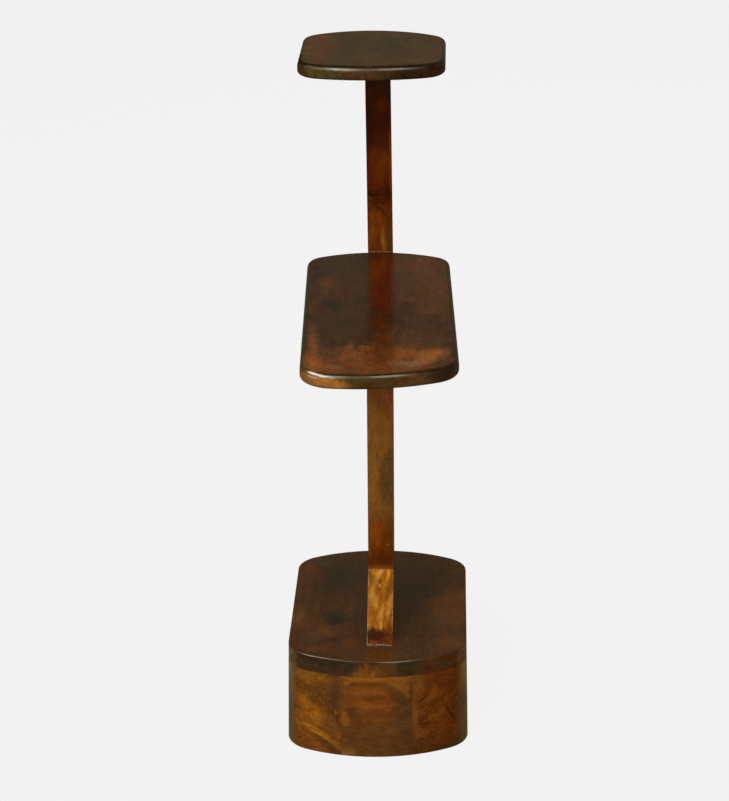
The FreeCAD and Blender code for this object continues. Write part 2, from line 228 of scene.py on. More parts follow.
class Mat:
    """A small builder for node materials. Coordinates are millimetres in the
    frame of the whole object."""

    def __init__(self, name):
        self.m = bpy.data.materials.new(name)
        self.m.use_nodes = True
        self.nt = self.m.node_tree
        self.nt.nodes.clear()
        self.out = self.nt.nodes.new("ShaderNodeOutputMaterial")
        self.b = self.nt.nodes.new("ShaderNodeBsdfPrincipled")
        self.nt.links.new(self.b.outputs[0], self.out.inputs[0])
        tc = self.nt.nodes.new("ShaderNodeTexCoord")
        self.P = self.vm("SCALE", tc.outputs["Object"], s=1000.0)
        sp = self.nt.nodes.new("ShaderNodeSeparateXYZ")
        self.put(sp.inputs[0], self.P)
        self.x, self.y, self.z = sp.outputs

    def put(self, sock, v):
        if v is None:
            return
        if isinstance(v, bpy.types.NodeSocket):
            self.nt.links.new(v, sock)
        elif isinstance(v, (tuple, list, Vector)):
            v = tuple(v)
            if sock.type == "RGBA" and len(v) == 3:
                v = v + (1.0,)
            sock.default_value = v
        else:
            sock.default_value = v

    def mt(self, op, a, b=None, c=None, clamp=False):
        n = self.nt.nodes.new("ShaderNodeMath")
        n.operation = op
        n.use_clamp = clamp
        for i, v in enumerate((a, b, c)):
            self.put(n.inputs[i], v)
        return n.outputs[0]

    def vm(self, op, a, b=None, s=None):
        n = self.nt.nodes.new("ShaderNodeVectorMath")
        n.operation = op
        self.put(n.inputs[0], a)
        self.put(n.inputs[1], b)
        if s is not None:
            self.put(n.inputs["Scale"], s)
        return n.outputs["Value"] if op in ("LENGTH", "DOT_PRODUCT", "DISTANCE") else n.outputs["Vector"]

    def xyz(self, x=0.0, y=0.0, z=0.0):
        n = self.nt.nodes.new("ShaderNodeCombineXYZ")
        for i, v in enumerate((x, y, z)):
            self.put(n.inputs[i], v)
        return n.outputs[0]

    def noise(self, vec, scale, detail=2.0, rough=0.5, dist=0.0, off=0.0, color=False):
        if off:
            vec = self.vm("ADD", vec, (off * 13.7, off * -7.3, off * 5.1))
        n = self.nt.nodes.new("ShaderNodeTexNoise")
        self.put(n.inputs["Vector"], vec)
        n.inputs["Scale"].default_value = scale
        n.inputs["Detail"].default_value = detail
        n.inputs["Roughness"].default_value = rough
        n.inputs["Distortion"].default_value = dist
        return n.outputs["Color"] if color else n.outputs["Fac"]

    def rng(self, v, a, b, c=0.0, d=1.0, smooth=True):
        n = self.nt.nodes.new("ShaderNodeMapRange")
        n.interpolation_type = "SMOOTHSTEP" if smooth else "LINEAR"
        n.clamp = True
        for k, q in (("Value", v), ("From Min", a), ("From Max", b), ("To Min", c), ("To Max", d)):
            self.put(n.inputs[k], q)
        return n.outputs[0]

    def ramp(self, fac, stops):
        n = self.nt.nodes.new("ShaderNodeValToRGB")
        self.put(n.inputs[0], fac)
        el = n.color_ramp.elements
        while len(el) < len(stops):
            el.new(0.5)
        for e, (p, c) in zip(el, stops):
            e.position = p
            e.color = tuple(c) + (1.0,)
        return n.outputs[0]

    def mix(self, fac, a, b, mode="MIX"):
        n = self.nt.nodes.new("ShaderNodeMix")
        n.data_type = "RGBA"
        n.blend_type = mode
        n.clamp_factor = True
        self.put(n.inputs[0], fac)
        self.put(n.inputs[6], a)
        self.put(n.inputs[7], b)
        return n.outputs[2]

    def warp(self, vec, amp, scale, detail=2.0, off=0.0, stretch=None):
        src = vec if stretch is None else self.vm("MULTIPLY", vec, stretch)
        c = self.noise(src, scale, detail, color=True, off=off)
        d = self.vm("SUBTRACT", c, (0.5, 0.5, 0.5))
        if isinstance(amp, (tuple, list)):
            d = self.vm("MULTIPLY", d, amp)
        else:
            d = self.vm("SCALE", d, s=amp)
        return self.vm("ADD", vec, d)

    def spot(self, uv, cx, cy, rx, ry, rot=0.0, edge=0.5, feather=None, fe=0.0):
        """1 inside an ellipse on the uv plane, 0 outside, with a soft edge."""
        n = self.nt.nodes.new("ShaderNodeMapping")
        n.vector_type = "TEXTURE"
        self.put(n.inputs["Vector"], uv)
        n.inputs["Location"].default_value = (cx, cy, 0)
        n.inputs["Rotation"].default_value = (0, 0, math.radians(rot))
        n.inputs["Scale"].default_value = (rx, ry, 1)
        d = self.vm("LENGTH", n.outputs[0])
        if feather is not None and fe:
            d = self.mt("ADD", d, self.mt("MULTIPLY", feather, fe))
        return self.rng(d, 1.0 + edge, max(1.0 - edge, 0.0))

    def paint(self, col, uv, feats, albedo, feather=None, gate=None):
        """Lays soft patches of figure over col. feats: (cx, cy, rx, ry, rot,
        edge, feather amount, strength, (r, g, b))."""
        for cx, cy, rx, ry, rot, edge, fe, k, rgb in feats:
            mk = self.spot(uv, cx, cy, rx, ry, rot, edge, feather, fe)
            mk = self.mt("MULTIPLY", mk, k)
            if gate is not None:
                mk = self.mt("MULTIPLY", mk, gate)
            col = self.mix(mk, col, albedo(*rgb))
        return col

    def bump(self, h, dist, strength=1.0, normal=None):
        n = self.nt.nodes.new("ShaderNodeBump")
        n.inputs["Strength"].default_value = strength
        n.inputs["Distance"].default_value = dist * MM
        self.put(n.inputs["Height"], h)
        if normal is not None:
            self.put(n.inputs["Normal"], normal)
        return n.outputs[0]


AX = {"x": 0, "y": 1, "z": 2}


def along(axis, across, lengthwise):
    v = [across] * 3
    v[AX[axis]] = lengthwise
    return tuple(v)


def wood_fields(M, axis, seed, ring_mm=9.0, pith=(0.0, -60.0), warp=1.0):
    """The fields that every board is made of. axis is the way of the grain."""
    P = M.P
    Pw = M.warp(P, 30.0 * warp, 0.011, 2.0, off=seed, stretch=along(axis, 1.0, 0.45))
    Pw = M.warp(Pw, 6.0 * warp, 0.05, 2.0, off=seed + 3, stretch=along(axis, 1.0, 0.35))
    sp = M.nt.nodes.new("ShaderNodeSeparateXYZ")
    M.put(sp.inputs[0], Pw)
    c = [sp.outputs[i] for i in range(3) if i != AX[axis]]
    du = M.mt("SUBTRACT", c[0], pith[0])
    dv = M.mt("SUBTRACT", c[1], pith[1])
    rad = M.mt("SQRT", M.mt("ADD", M.mt("MULTIPLY", du, du), M.mt("MULTIPLY", dv, dv)))
    f = {}
    f["mott"] = M.noise(M.vm("MULTIPLY", Pw, along(axis, 1.0, 0.4)), 0.028, 3.0, 0.55, off=seed + 1)
    ph = M.mt("ADD", M.mt("MULTIPLY", rad, 6.2832 / ring_mm), M.mt("MULTIPLY", f["mott"], 9.0))
    s = M.mt("MULTIPLY_ADD", M.mt("SINE", ph), 0.5, 0.5)
    f["ring"] = M.mt("POWER", s, 1.6)
    f["ring2"] = M.mt("MULTIPLY_ADD", M.mt("SINE", M.mt("MULTIPLY", ph, 3.1)), 0.5, 0.5)
    f["fib"] = M.noise(M.vm("MULTIPLY", Pw, along(axis, 1.0, 0.07)), 0.75, 4.0, 0.6, off=seed + 2)
    f["fine"] = M.noise(M.vm("MULTIPLY", P, along(axis, 1.0, 0.06)), 2.6, 3.0, 0.6, off=seed + 4)
    pn = M.noise(M.vm("MULTIPLY", P, along(axis, 1.0, 0.09)), 2.1, 2.0, 0.5, off=seed + 5)
    f["pore"] = M.rng(pn, 0.60, 0.72)
    f["curl"] = M.noise(M.vm("MULTIPLY", Pw, along(axis, 0.35, 1.6)), 0.12, 2.0, 0.5, off=seed + 6)
    f["swirl"] = M.noise(M.vm("MULTIPLY", Pw, along(axis, 1.0, 0.45)), 0.16, 4.0, 0.62, dist=1.4, off=seed + 7)
    f["cloud"] = M.noise(M.vm("MULTIPLY", P, along(axis, 1.0, 0.6)), 0.11, 4.0, 0.66, off=seed + 8)
    f["hue"] = M.noise(M.vm("MULTIPLY", P, along(axis, 1.0, 0.55)), 0.07, 3.0, 0.6, off=seed + 9)
    return f


def tone(M, col, f, swirl=0.5, cloud=0.35, hue=0.12, pore=0.35, fine=0.4):
    """The uneven colour every board has on top of its figure."""
    g = M.mt("MULTIPLY_ADD", M.mt("SUBTRACT", f["swirl"], 0.5), 2.0 * swirl, 1.0)
    g = M.mt("MULTIPLY", g, M.mt("MULTIPLY_ADD", M.mt("SUBTRACT", f["cloud"], 0.5), 2.0 * cloud, 1.0))
    g = M.mt("MULTIPLY", g, M.mt("MULTIPLY_ADD", M.mt("SUBTRACT", f["fine"], 0.5), 2.0 * fine, 1.0))
    g = M.mt("MULTIPLY", g, M.mt("MULTIPLY_ADD", f["pore"], -pore, 1.0))
    g = M.mt("MAXIMUM", g, 0.15)
    h = M.mt("MULTIPLY", M.mt("SUBTRACT", f["hue"], 0.5), 2.0 * hue)
    t = M.xyz(M.mt("MULTIPLY", g, M.mt("ADD", 1.0, h)),
              M.mt("MULTIPLY", g, M.mt("SUBTRACT", 1.0, M.mt("MULTIPLY", h, 0.8))),
              M.mt("MULTIPLY", g, M.mt("SUBTRACT", 1.0, M.mt("MULTIPLY", h, 1.6))))
    return M.mix(1.0, col, t, "MULTIPLY")


def lacquer(M, col, f, coat_rough=0.15, wave=0.05, base_rough=0.5, pore_depth=0.03, coat=1.0):
    """Clear glossy lacquer over the wood."""
    b = M.b
    M.put(b.inputs["Base Color"], col)
    rough = M.mt("MULTIPLY_ADD", f["fib"], 0.22, base_rough - 0.11)
    M.put(b.inputs["Roughness"], rough)
    b.inputs["Specular IOR Level"].default_value = 0.0
    b.inputs["IOR"].default_value = 1.5
    M.put(b.inputs["Coat Weight"], coat)
    b.inputs["Coat IOR"].default_value = 1.5
    b.inputs["Coat Roughness"].default_value = coat_rough
    h = M.mt("ADD", M.mt("MULTIPLY", f["fine"], 0.5), M.mt("MULTIPLY", f["pore"], -1.0))
    M.put(b.inputs["Normal"], M.bump(h, pore_depth * 2.0))
    # the lacquer's own skin: long waves of the hand finish, and a trace of the pores
    w = M.noise(M.P, 0.055, 2.0, 0.5, off=41)
    w2 = M.noise(M.P, 0.33, 2.0, 0.5, off=43)
    sk = M.mt("ADD", M.mt("MULTIPLY", w, 1.0), M.mt("MULTIPLY", w2, 0.06))
    sk = M.mt("ADD", sk, M.mt("MULTIPLY", f["pore"], -0.05))
    M.put(b.inputs["Coat Normal"], M.bump(sk, wave * 8.0))


def worn(M, col, rubbed, radius=1.0, amount=0.6, seed=90.0, lo=0.50, hi=0.64):
    """Rubs the finish off along the edges, in patches. Returns the colour and
    where it is rubbed."""
    bv = M.nt.nodes.new("ShaderNodeBevel")
    bv.samples = 4
    bv.inputs["Radius"].default_value = radius * MM
    g = M.nt.nodes.new("ShaderNodeNewGeometry")
    d = M.vm("DOT_PRODUCT", bv.outputs[0], g.outputs["True Normal"])
    edge = M.rng(d, 0.995, 0.93)
    n = M.noise(M.P, 0.11, 4.0, 0.7, off=seed)
    n2 = M.noise(M.P, 0.9, 3.0, 0.6, off=seed + 1)
    patch = M.rng(M.mt("ADD", n, M.mt("MULTIPLY", M.mt("SUBTRACT", n2, 0.5), 0.35)), lo, hi)
    w = M.mt("MULTIPLY", M.mt("MULTIPLY", edge, patch), amount)
    return M.mix(w, col, rubbed), w


def make_albedo(light, sheen=(0.0, 0.0, 0.0)):
    """Colour as it looks under the studio light -> colour of the wood."""
    def f(r, g, b):
        return tuple(max(lin(v) - s, 0.0008) / light for v, s in zip((r, g, b), sheen))
    return f


def pair(M, u, v):
    return M.xyz(u, v, 0.0)


# how strongly each kind of face is lit, so that wood colours can be given as they look
L_TOPSHELF, L_TOPEDGE, L_MID, L_MIDEDGE, L_LID, L_LIDEDGE = 0.39, 0.60, 0.46, 0.63, 0.48, 0.56
L_STAVE, L_STAVE_R, L_POST, L_POST_UP, L_BRACE = 0.55, 0.46, 0.59, 0.72, 0.71
SHEEN_LID, SHEEN_MID, SHEEN_TOP = (0.011, 0.0105, 0.0080), (0.0195, 0.0185, 0.0135), (0.030, 0.0285, 0.0215)


def mat_middle_shelf():
    M = Mat("middle_shelf_wood")
    f = wood_fields(M, "y", 1.0, ring_mm=13.0, pith=(20.0, 330.0))
    A = make_albedo(L_MID, SHEEN_MID)
    # painted reflection: colours for the red-brown strip painted where the upper post is mirrored in the lacquer
    post_reflection_albedo = make_albedo(L_MID, (0.022, 0.0080, 0.0036))      # where the post is mirrored instead of the wall
    E = make_albedo(L_MIDEDGE, (0.002, 0.002, 0.002))
    v = M.mt("ADD", M.mt("MULTIPLY", f["mott"], 0.6), M.mt("MULTIPLY", f["fib"], 0.25))
    v = M.mt("ADD", v, M.mt("MULTIPLY", f["cloud"], 0.3))
    col = M.ramp(M.rng(v, 0.42, 0.76, smooth=False), [(0.0, A(55, 43, 32)), (0.35, A(65, 48, 33)), (0.65, A(74, 51, 34)), (1.0, A(81, 54, 34))])
    uv = M.warp(pair(M, M.x, M.y), (8.0, 16.0, 0.0), 0.06, 3.0, off=2.0)
    fe = M.mt("SUBTRACT", M.noise(M.vm("MULTIPLY", M.P, (1.0, 0.16, 1.0)), 0.17, 2.5, 0.5, off=7.0), 0.5)
    feats = [
        (-48, 185, 30, 45, 0, 0.92, 0.36, 0.60, (62, 51, 37)),
        (-68, 150, 6, 60, 0, 0.80, 0.36, 0.60, (56, 46, 34)),
        (-38, 80, 24, 40, 0, 0.92, 0.36, 0.50, (64, 49, 36)),
        (-45, 0, 26, 50, 0, 0.92, 0.36, 0.50, (64, 48, 35)),
        (46, 165, 20, 74, 2, 0.80, 0.45, 0.65, (84, 56, 34)),
        (18, 170, 6, 60, 0, 0.92, 0.36, 0.60, (74, 57, 38)),
        (37, 212, 3.4, 26, 0, 0.95, 0.41, 0.75, (100, 68, 38)),
        (47, 200, 3, 26, 0, 0.92, 0.45, 0.50, (94, 65, 38)),
        (55, 120, 12, 30, 0, 0.80, 0.45, 0.60, (90, 57, 36)),
        (60, 60, 10, 34, 0, 0.92, 0.45, 0.50, (84, 54, 35)),
        (-55, 135, 9, 20, 6, 0.80, 0.41, 0.85, (96, 60, 35)),
        (-58, 112, 13, 9, 0, 0.92, 0.36, 0.65, (86, 56, 35)),
        (-48, 66, 10, 16, 0, 0.80, 0.27, 0.85, (50, 45, 37)),
        (42, 190, 24, 40, 0, 0.95, 0.41, 0.50, (90, 58, 34)),
        (60, 100, 10, 60, 0, 0.95, 0.41, 0.40, (88, 56, 35)),
        (40, -4, 20, 26, 0, 0.92, 0.36, 0.50, (66, 50, 35)),
        (45, -40, 18, 22, 0, 0.92, 0.45, 0.55, (80, 54, 36)),
        (0, -138, 98, 66, 0, 0.40, 1.3, 0.82, (104, 63, 37)),
        (-60, -64, 4.0, 50, 4, 0.9, 0.9, 0.85, (112, 69, 36)),
        (-56, -112, 7, 24, 0, 0.8, 0.9, 0.75, (126, 78, 37)),
        (-27, -74, 4, 24, -6, 0.9, 0.9, 0.65, (110, 67, 34)),
        (-20, -84, 9, 13, 0, 0.9, 1.0, 0.70, (117, 71, 34)),
        (-9, -68, 5, 10, 40, 0.8, 0.9, 0.75, (116, 68, 30)),
        (14, -28, 2.4, 22, -6, 0.9, 0.8, 0.45, (104, 62, 30)),
        (22, -80, 6, 14, 0, 0.8, 1.0, 0.65, (116, 68, 33)),
        (38, -82, 13, 13, 0, 0.8, 1.2, 0.65, (118, 74, 38)),
        (56, -80, 12, 11, 20, 0.9, 1.0, 0.70, (130, 79, 39)),
        (51, -94, 8, 14, 14, 0.9, 1.0, 0.75, (138, 84, 39)),
        (47, -107, 9, 7, 10, 0.9, 0.8, 0.65, (140, 88, 44)),
        (-44, -90, 8, 16, 0, 0.7, 0.9, 0.80, (80, 57, 38)),
        (-36, -112, 7, 12, 0, 0.8, 0.9, 0.50, (86, 60, 38)),
        (-44, -122, 10, 5, 0, 0.8, 0.9, 0.60, (124, 82, 44)),
        (5, -98, 6, 15, 0, 0.8, 0.9, 0.75, (82, 55, 34)),
        (20, -122, 20, 5, 0, 0.8, 1.0, 0.45, (104, 70, 46)),
        # painted reflection: the next two pale greyish patches are a speckled reflection in the lacquer
        (34, -113, 13, 6, 8, 0.9, 1.2, 0.60, (120, 94, 66)),
        (18, -108, 8, 6, 8, 0.9, 1.2, 0.40, (110, 84, 58)),
    ]
    col = M.paint(col, uv, feats, A, feather=fe)
    # painted reflection: a red-brown strip painted into the shelf top where the upper post is mirrored in the lacquer
    post_reflection_uv = M.warp(pair(M, M.x, M.y), (3.0, 8.0, 0.0), 0.05, 2.0, off=3.0)
    post_reflection_feather = M.mt("SUBTRACT", M.noise(M.vm("MULTIPLY", M.P, (1.0, 0.2, 1.0)), 0.25, 3.0, 0.6, off=6.0), 0.5)
    col = M.paint(col, post_reflection_uv, [
        (-1.5, 178, 12.6, 70, 2.6, 0.40, 0.35, 0.92, (82, 34, 5)),
        (-7, 185, 4, 34, 0, 0.7, 0.6, 0.60, (96, 46, 8)),
        (4, 150, 4, 26, 0, 0.7, 0.6, 0.40, (70, 28, 8)),
        (2.5, 90, 10, 38, 2.0, 0.6, 0.5, 0.92, (78, 31, 4)),
        (4, 24, 12, 36, 2.0, 0.8, 0.9, 0.55, (66, 34, 14)),
        (8, -46, 12, 36, 2.0, 0.9, 0.9, 0.50, (84, 44, 18)),
    ], post_reflection_albedo, feather=post_reflection_feather)
    # the edge all round
    ev = M.mt("ADD", M.mt("MULTIPLY", f["mott"], 0.8), M.mt("MULTIPLY", f["fib"], 0.3))
    edge = M.ramp(M.rng(ev, 0.35, 0.85, smooth=False), [(0.0, E(52, 37, 19)), (0.5, E(68, 48, 23)), (1.0, E(90, 58, 26))])
    uve = M.warp(pair(M, M.x, M.z), (6.0, 2.6, 0.0), 0.09, 3.0, off=9.0)
    front = M.rng(M.y, -60.0, -100.0)
    fe2 = M.mt("SUBTRACT", M.noise(M.vm("MULTIPLY", M.P, (1.0, 1.0, 1.6)), 0.30, 3.0, 0.6, off=8.0), 0.5)
    edge = M.paint(edge, uve, [
        (-46, 385.0, 24, 7.5, -4, 0.30, 1.2, 0.95, (156, 98, 40)),
        (-36, 382.5, 8, 3.0, 0, 0.6, 0.8, 0.75, (172, 108, 46)),
        (-50, 380.5, 12, 2.2, 0, 0.6, 0.8, 0.55, (112, 70, 26)),
        (-62, 386.0, 7, 4.0, 0, 0.6, 0.8, 0.65, (126, 86, 40)),
        (-8, 386, 16, 10, 0, 0.5, 0.8, 0.6, (72, 52, 25)),
        # painted highlight: the next two bright golden spots are glints at the lit left end of the edge
        (-70.5, 385.5, 1.6, 2.2, 0, 0.8, 0.6, 0.75, (176, 128, 50)),
        (-64, 382.8, 5, 1.3, -14, 0.8, 0.6, 0.65, (168, 116, 44)),
        (20, 384, 14, 6, 0, 0.5, 0.8, 0.6, (80, 54, 23)),
        (34, 384, 12, 7, 0, 0.7, 0.8, 0.6, (78, 50, 24)),
        (62, 386, 16, 10, 0, 0.5, 0.8, 0.80, (60, 36, 16)),
        (40, 385, 12, 5, 0, 0.6, 0.8, 0.60, (92, 62, 32)),
        (30, 381.5, 22, 1.8, 0, 0.7, 0.8, 0.55, (104, 76, 44)),
    ], E, feather=fe2, gate=front)
    zt = M.rng(M.mt("ADD", M.z, M.mt("MULTIPLY", f["fib"], 0.5)), 394.6, 395.5)
    col = M.mix(zt, edge, col)
    # painted shade: a dark line painted along the upper rounded edge, where the lacquer mirrors the dark space overhead
    painted_dark_rim = M.mt("MULTIPLY", M.rng(M.z, 392.0, 393.6), M.rng(M.z, 395.42, 395.05))
    painted_dark_rim = M.mt("MULTIPLY", painted_dark_rim, M.rng(M.mt("MULTIPLY", M.x, front), -66.0, -40.0, 0.15, 1.0))
    col = M.mix(M.mt("MULTIPLY", painted_dark_rim, 0.66), col, E(26, 20, 12))
    # painted shade: the rounded edge at the right front corner is painted darker and greener, for the dark reflection
    # there
    corner = M.mt("MULTIPLY", M.spot(pair(M, M.x, M.y), 66, -116, 17, 15, -30, 0.7), M.rng(M.z, 385.0, 391.0))
    col = M.mix(M.mt("MULTIPLY", corner, 0.60), col, E(33, 31, 19))
    col = tone(M, col, f, swirl=0.42, cloud=0.62, hue=0.35, pore=0.06, fine=0.34)
    st = M.noise(M.vm("MULTIPLY", M.P, (1.0, 0.06, 1.0)), 0.30, 4.0, 0.62, off=14)
    col = M.mix(M.rng(M.y, -60.0, -40.0, 0.45, 1.0), col, M.mix(1.0, col, M.ramp(st, [(0.34, (0.78, 0.85, 0.88)), (0.5, (1.0, 1.0, 1.0)), (0.66, (1.26, 1.16, 1.10))]), "MULTIPLY"))
    # rubbed spots along the rounded edge
    sc = M.noise(M.vm("MULTIPLY", M.P, (1.0, 1.0, 0.6)), 0.13, 5.0, 0.72, off=92)
    sc = M.mt("MULTIPLY", M.rng(sc, 0.60, 0.70), M.mt("MULTIPLY", M.rng(M.z, 390.5, 392.5), M.rng(M.z, 395.35, 394.6)))
    col = M.mix(M.mt("MULTIPLY", sc, 0.40), col, E(112, 72, 34))
    lacquer(M, col, f, coat_rough=0.19, wave=0.03, pore_depth=0.012)
    return M.m


def mat_lid():
    M = Mat("lid_wood")
    f = wood_fields(M, "y", 4.0, ring_mm=15.0, pith=(-50.0, 260.0))
    A = make_albedo(L_LID, SHEEN_LID)
    E = make_albedo(L_LIDEDGE, (0.002, 0.002, 0.002))
    v = M.mt("ADD", M.mt("MULTIPLY", f["mott"], 0.8), M.mt("MULTIPLY", f["fib"], 0.2))
    v = M.mt("ADD", v, M.mt("MULTIPLY", f["curl"], 0.12))
    col = M.ramp(M.rng(v, 0.42, 0.80, smooth=False), [(0.0, A(58, 43, 29)), (0.4, A(64, 45, 28)), (0.7, A(70, 47, 28)), (1.0, A(77, 50, 29))])
    uv = M.warp(pair(M, M.x, M.y), (7.0, 8.0, 0.0), 0.055, 3.0, off=5.0)
    fe = M.mt("SUBTRACT", M.noise(M.vm("MULTIPLY", M.P, (1.0, 0.35, 1.0)), 0.12, 2.0, 0.45, off=12.0), 0.5)
    feats = [
        (-45, 62, 24, 36, 0, 0.69, 0.36, 0.75, (54, 42, 31)),
        (-20, 74, 13, 14, 0, 0.69, 0.27, 0.60, (51, 41, 31)),
        (-48, 48, 10, 12, 0, 0.69, 0.27, 0.50, (48, 40, 31)),
        (-30, 15, 16, 30, 0, 0.69, 0.27, 0.50, (66, 45, 33)),
        (-79, 60, 13, 66, 0, 0.90, 0.36, 0.60, (80, 52, 31)),
        (-72, 88, 9, 14, 0, 0.90, 0.36, 0.30, (86, 50, 29)),
        (-55, -62, 38, 40, 0, 0.69, 0.45, 0.65, (84, 52, 30)),
        (-81, -32, 7, 22, 0, 0.80, 0.32, 0.70, (96, 62, 32)),
        (-45, -32, 13, 18, 0, 0.52, 0.23, 0.85, (51, 42, 31)),
        (-42, -38, 7, 10, 0, 0.69, 0.18, 0.60, (44, 37, 29)),
        (-53, -67, 9, 10, 0, 0.92, 0.41, 0.60, (100, 60, 29)),
        (-46, -88, 11, 8, 0, 0.57, 0.27, 0.80, (60, 43, 32)),
        (-25, -94, 9, 9, 0, 0.92, 0.41, 0.45, (92, 57, 30)),
        (-58, -106, 11, 6, 0, 0.69, 0.36, 0.55, (98, 60, 29)),
        (-30, -114, 8, 6, 0, 0.69, 0.36, 0.45, (62, 46, 34)),
        # painted reflection: the next patch is a greenish-grey sheen at the back left of the lid
        (-62, 108, 16, 10, 0, 0.69, 0.27, 0.6, (62, 53, 40)),
        # painted shadow: the next darker patch lies where the post's shadow falls on the lid
        (34, 40, 26, 90, 0, 0.69, 0.36, 0.75, (58, 44, 29)),
        (30, -60, 22, 44, 0, 0.80, 0.36, 0.55, (62, 44, 28)),
        (78, -4, 26, 34, 0, 0.32, 0.23, 0.80, (83, 50, 28)),
        (70, 16, 12, 10, 0, 0.69, 0.27, 0.40, (98, 56, 28)),
        (72, -40, 18, 26, 0, 0.69, 0.36, 0.65, (82, 52, 29)),
        (80, 70, 8, 40, 0, 0.69, 0.36, 0.45, (76, 52, 32)),
        (74, -90, 15, 14, -30, 0.80, 0.41, 0.60, (96, 60, 30)),
        (29, -58, 2.4, 5, 0, 0.95, 0.41, 0.35, (80, 60, 32)),
        (29, -84, 2.4, 5, 0, 0.95, 0.41, 0.35, (80, 58, 30)),
        (-4, -112, 46, 22, 0, 0.92, 0.41, 0.60, (84, 53, 30)),
        
        (38, -110, 16, 13, 0, 0.69, 0.36, 0.65, (64, 46, 30)),
        (58, -112, 8, 8, 0, 0.69, 0.36, 0.5, (84, 52, 30)),
    ]
    col = M.paint(col, uv, feats, A, feather=fe)
    st = M.noise(M.vm("MULTIPLY", M.P, (1.0, 0.035, 1.0)), 0.55, 3.0, 0.55, off=13.0)
    col = M.mix(1.0, col, M.ramp(st, [(0.34, (0.86, 0.88, 0.90)), (0.5, (1.0, 1.0, 1.0)), (0.66, (1.12, 1.10, 1.07))]), "MULTIPLY")
    ev = M.mt("ADD", M.mt("MULTIPLY", f["mott"], 0.8), M.mt("MULTIPLY", f["fib"], 0.3))
    edge = M.ramp(M.rng(ev, 0.35, 0.85, smooth=False), [(0.0, E(50, 38, 21)), (0.5, E(62, 44, 23)), (1.0, E(88, 56, 24))])
    uve = M.warp(pair(M, M.x, M.z), (4.0, 2.2, 0.0), 0.09, 3.0, off=15.0)
    front = M.rng(M.y, -60.0, -90.0)
    # the light patch is crossed by lines that fan out
    fan = M.warp(pair(M, M.mt("ADD", M.x, M.mt("MULTIPLY", M.z, 0.25)), M.mt("MULTIPLY", M.z, 0.25)), (1.5, 1.0, 0.0), 0.2, 2.0, off=18.0)
    fe2 = M.mt("SUBTRACT", M.noise(fan, 0.34, 3.0, 0.6, off=16.0), 0.5)
    fine_fan = M.noise(M.vm("MULTIPLY", fan, (1.0, 0.4, 1.0)), 0.9, 3.0, 0.6, off=17.0)
    edge = M.paint(edge, uve, [
        (-84, 92, 9, 12, 0, 0.6, 0.6, 0.7, (74, 58, 32)),
        (-62, 92, 20, 10, 0, 0.6, 0.8, 0.6, (72, 48, 28)),
        (-46, 96, 32, 5, -4, 0.4, 0.7, 0.85, (46, 38, 25)),
        (-68, 90, 8, 6, 30, 0.6, 0.6, 0.6, (52, 41, 25)),
        (-28, 90, 8, 9, -35, 0.5, 0.6, 0.80, (52, 42, 25)),
        (-46, 87, 14, 5, 0, 0.6, 0.6, 0.55, (60, 40, 27)),
        (-9, 87, 11, 10, 0, 0.5, 1.4, 0.90, (104, 63, 23)),
        (-14, 85, 10, 4, 0, 0.6, 1.2, 0.6, (116, 72, 30)),
        (-3.0, 88.5, 1.5, 4.5, -14, 0.8, 0.8, 0.50, (128, 84, 36)),
        (-6.5, 91, 1.0, 5, 8, 0.8, 0.8, 0.55, (76, 48, 20)),
        (-9, 94, 1.2, 5, 20, 0.7, 0.5, 0.5, (122, 80, 36)),
        (11, 89, 11, 9, 0, 0.5, 1.2, 0.85, (88, 56, 25)),
        (30, 92, 12, 12, 0, 0.5, 0.7, 0.85, (50, 42, 27)),
        (60, 90, 22, 13, 0, 0.5, 0.9, 0.80, (72, 42, 20)),
        (80, 92, 5, 10, 0, 0.6, 0.6, 0.7, (92, 46, 18)),
        (77, 86, 4, 2.6, 12, 0.6, 0.5, 0.7, (40, 30, 22)),
    ], E, feather=fe2, gate=front)
    glow = M.mt("MULTIPLY", M.spot(pair(M, M.x, M.z), -2, 89, 20, 12, 0, 0.5), front)
    edge = M.mix(M.mt("MULTIPLY", glow, 0.8), edge, M.mix(1.0, edge, M.ramp(fine_fan, [(0.34, (0.70, 0.66, 0.58)), (0.5, (1.0, 1.0, 1.0)), (0.66, (1.28, 1.24, 1.14))]), "MULTIPLY"))
    # painted reflection: the ends of the lid edge, where it turns into the sides, are painted paler, for the lacquer's
    # grazing reflection of the bright surroundings
    ends = M.mt("MULTIPLY", M.rng(M.mt("ABSOLUTE", M.x), 76.0, 85.5, smooth=False), M.rng(f["cloud"], 0.35, 0.60, 0.5, 1.0))
    edge = M.mix(M.mt("MULTIPLY", ends, 0.90), edge, M.ramp(M.rng(M.x, -20.0, 20.0), [(0.0, E(122, 94, 48)), (1.0, E(128, 84, 40))]))
    zt = M.rng(M.z, 99.6, 100.3)
    col = M.mix(zt, edge, col)
    col = tone(M, col, f, swirl=0.32, cloud=0.50, hue=0.25, pore=0.04, fine=0.30)
    col, _ = worn(M, col, E(104, 70, 38), 1.2, 0.45, 93.0)
    lacquer(M, col, f, coat_rough=0.17, wave=0.03, pore_depth=0.012)
    return M.m


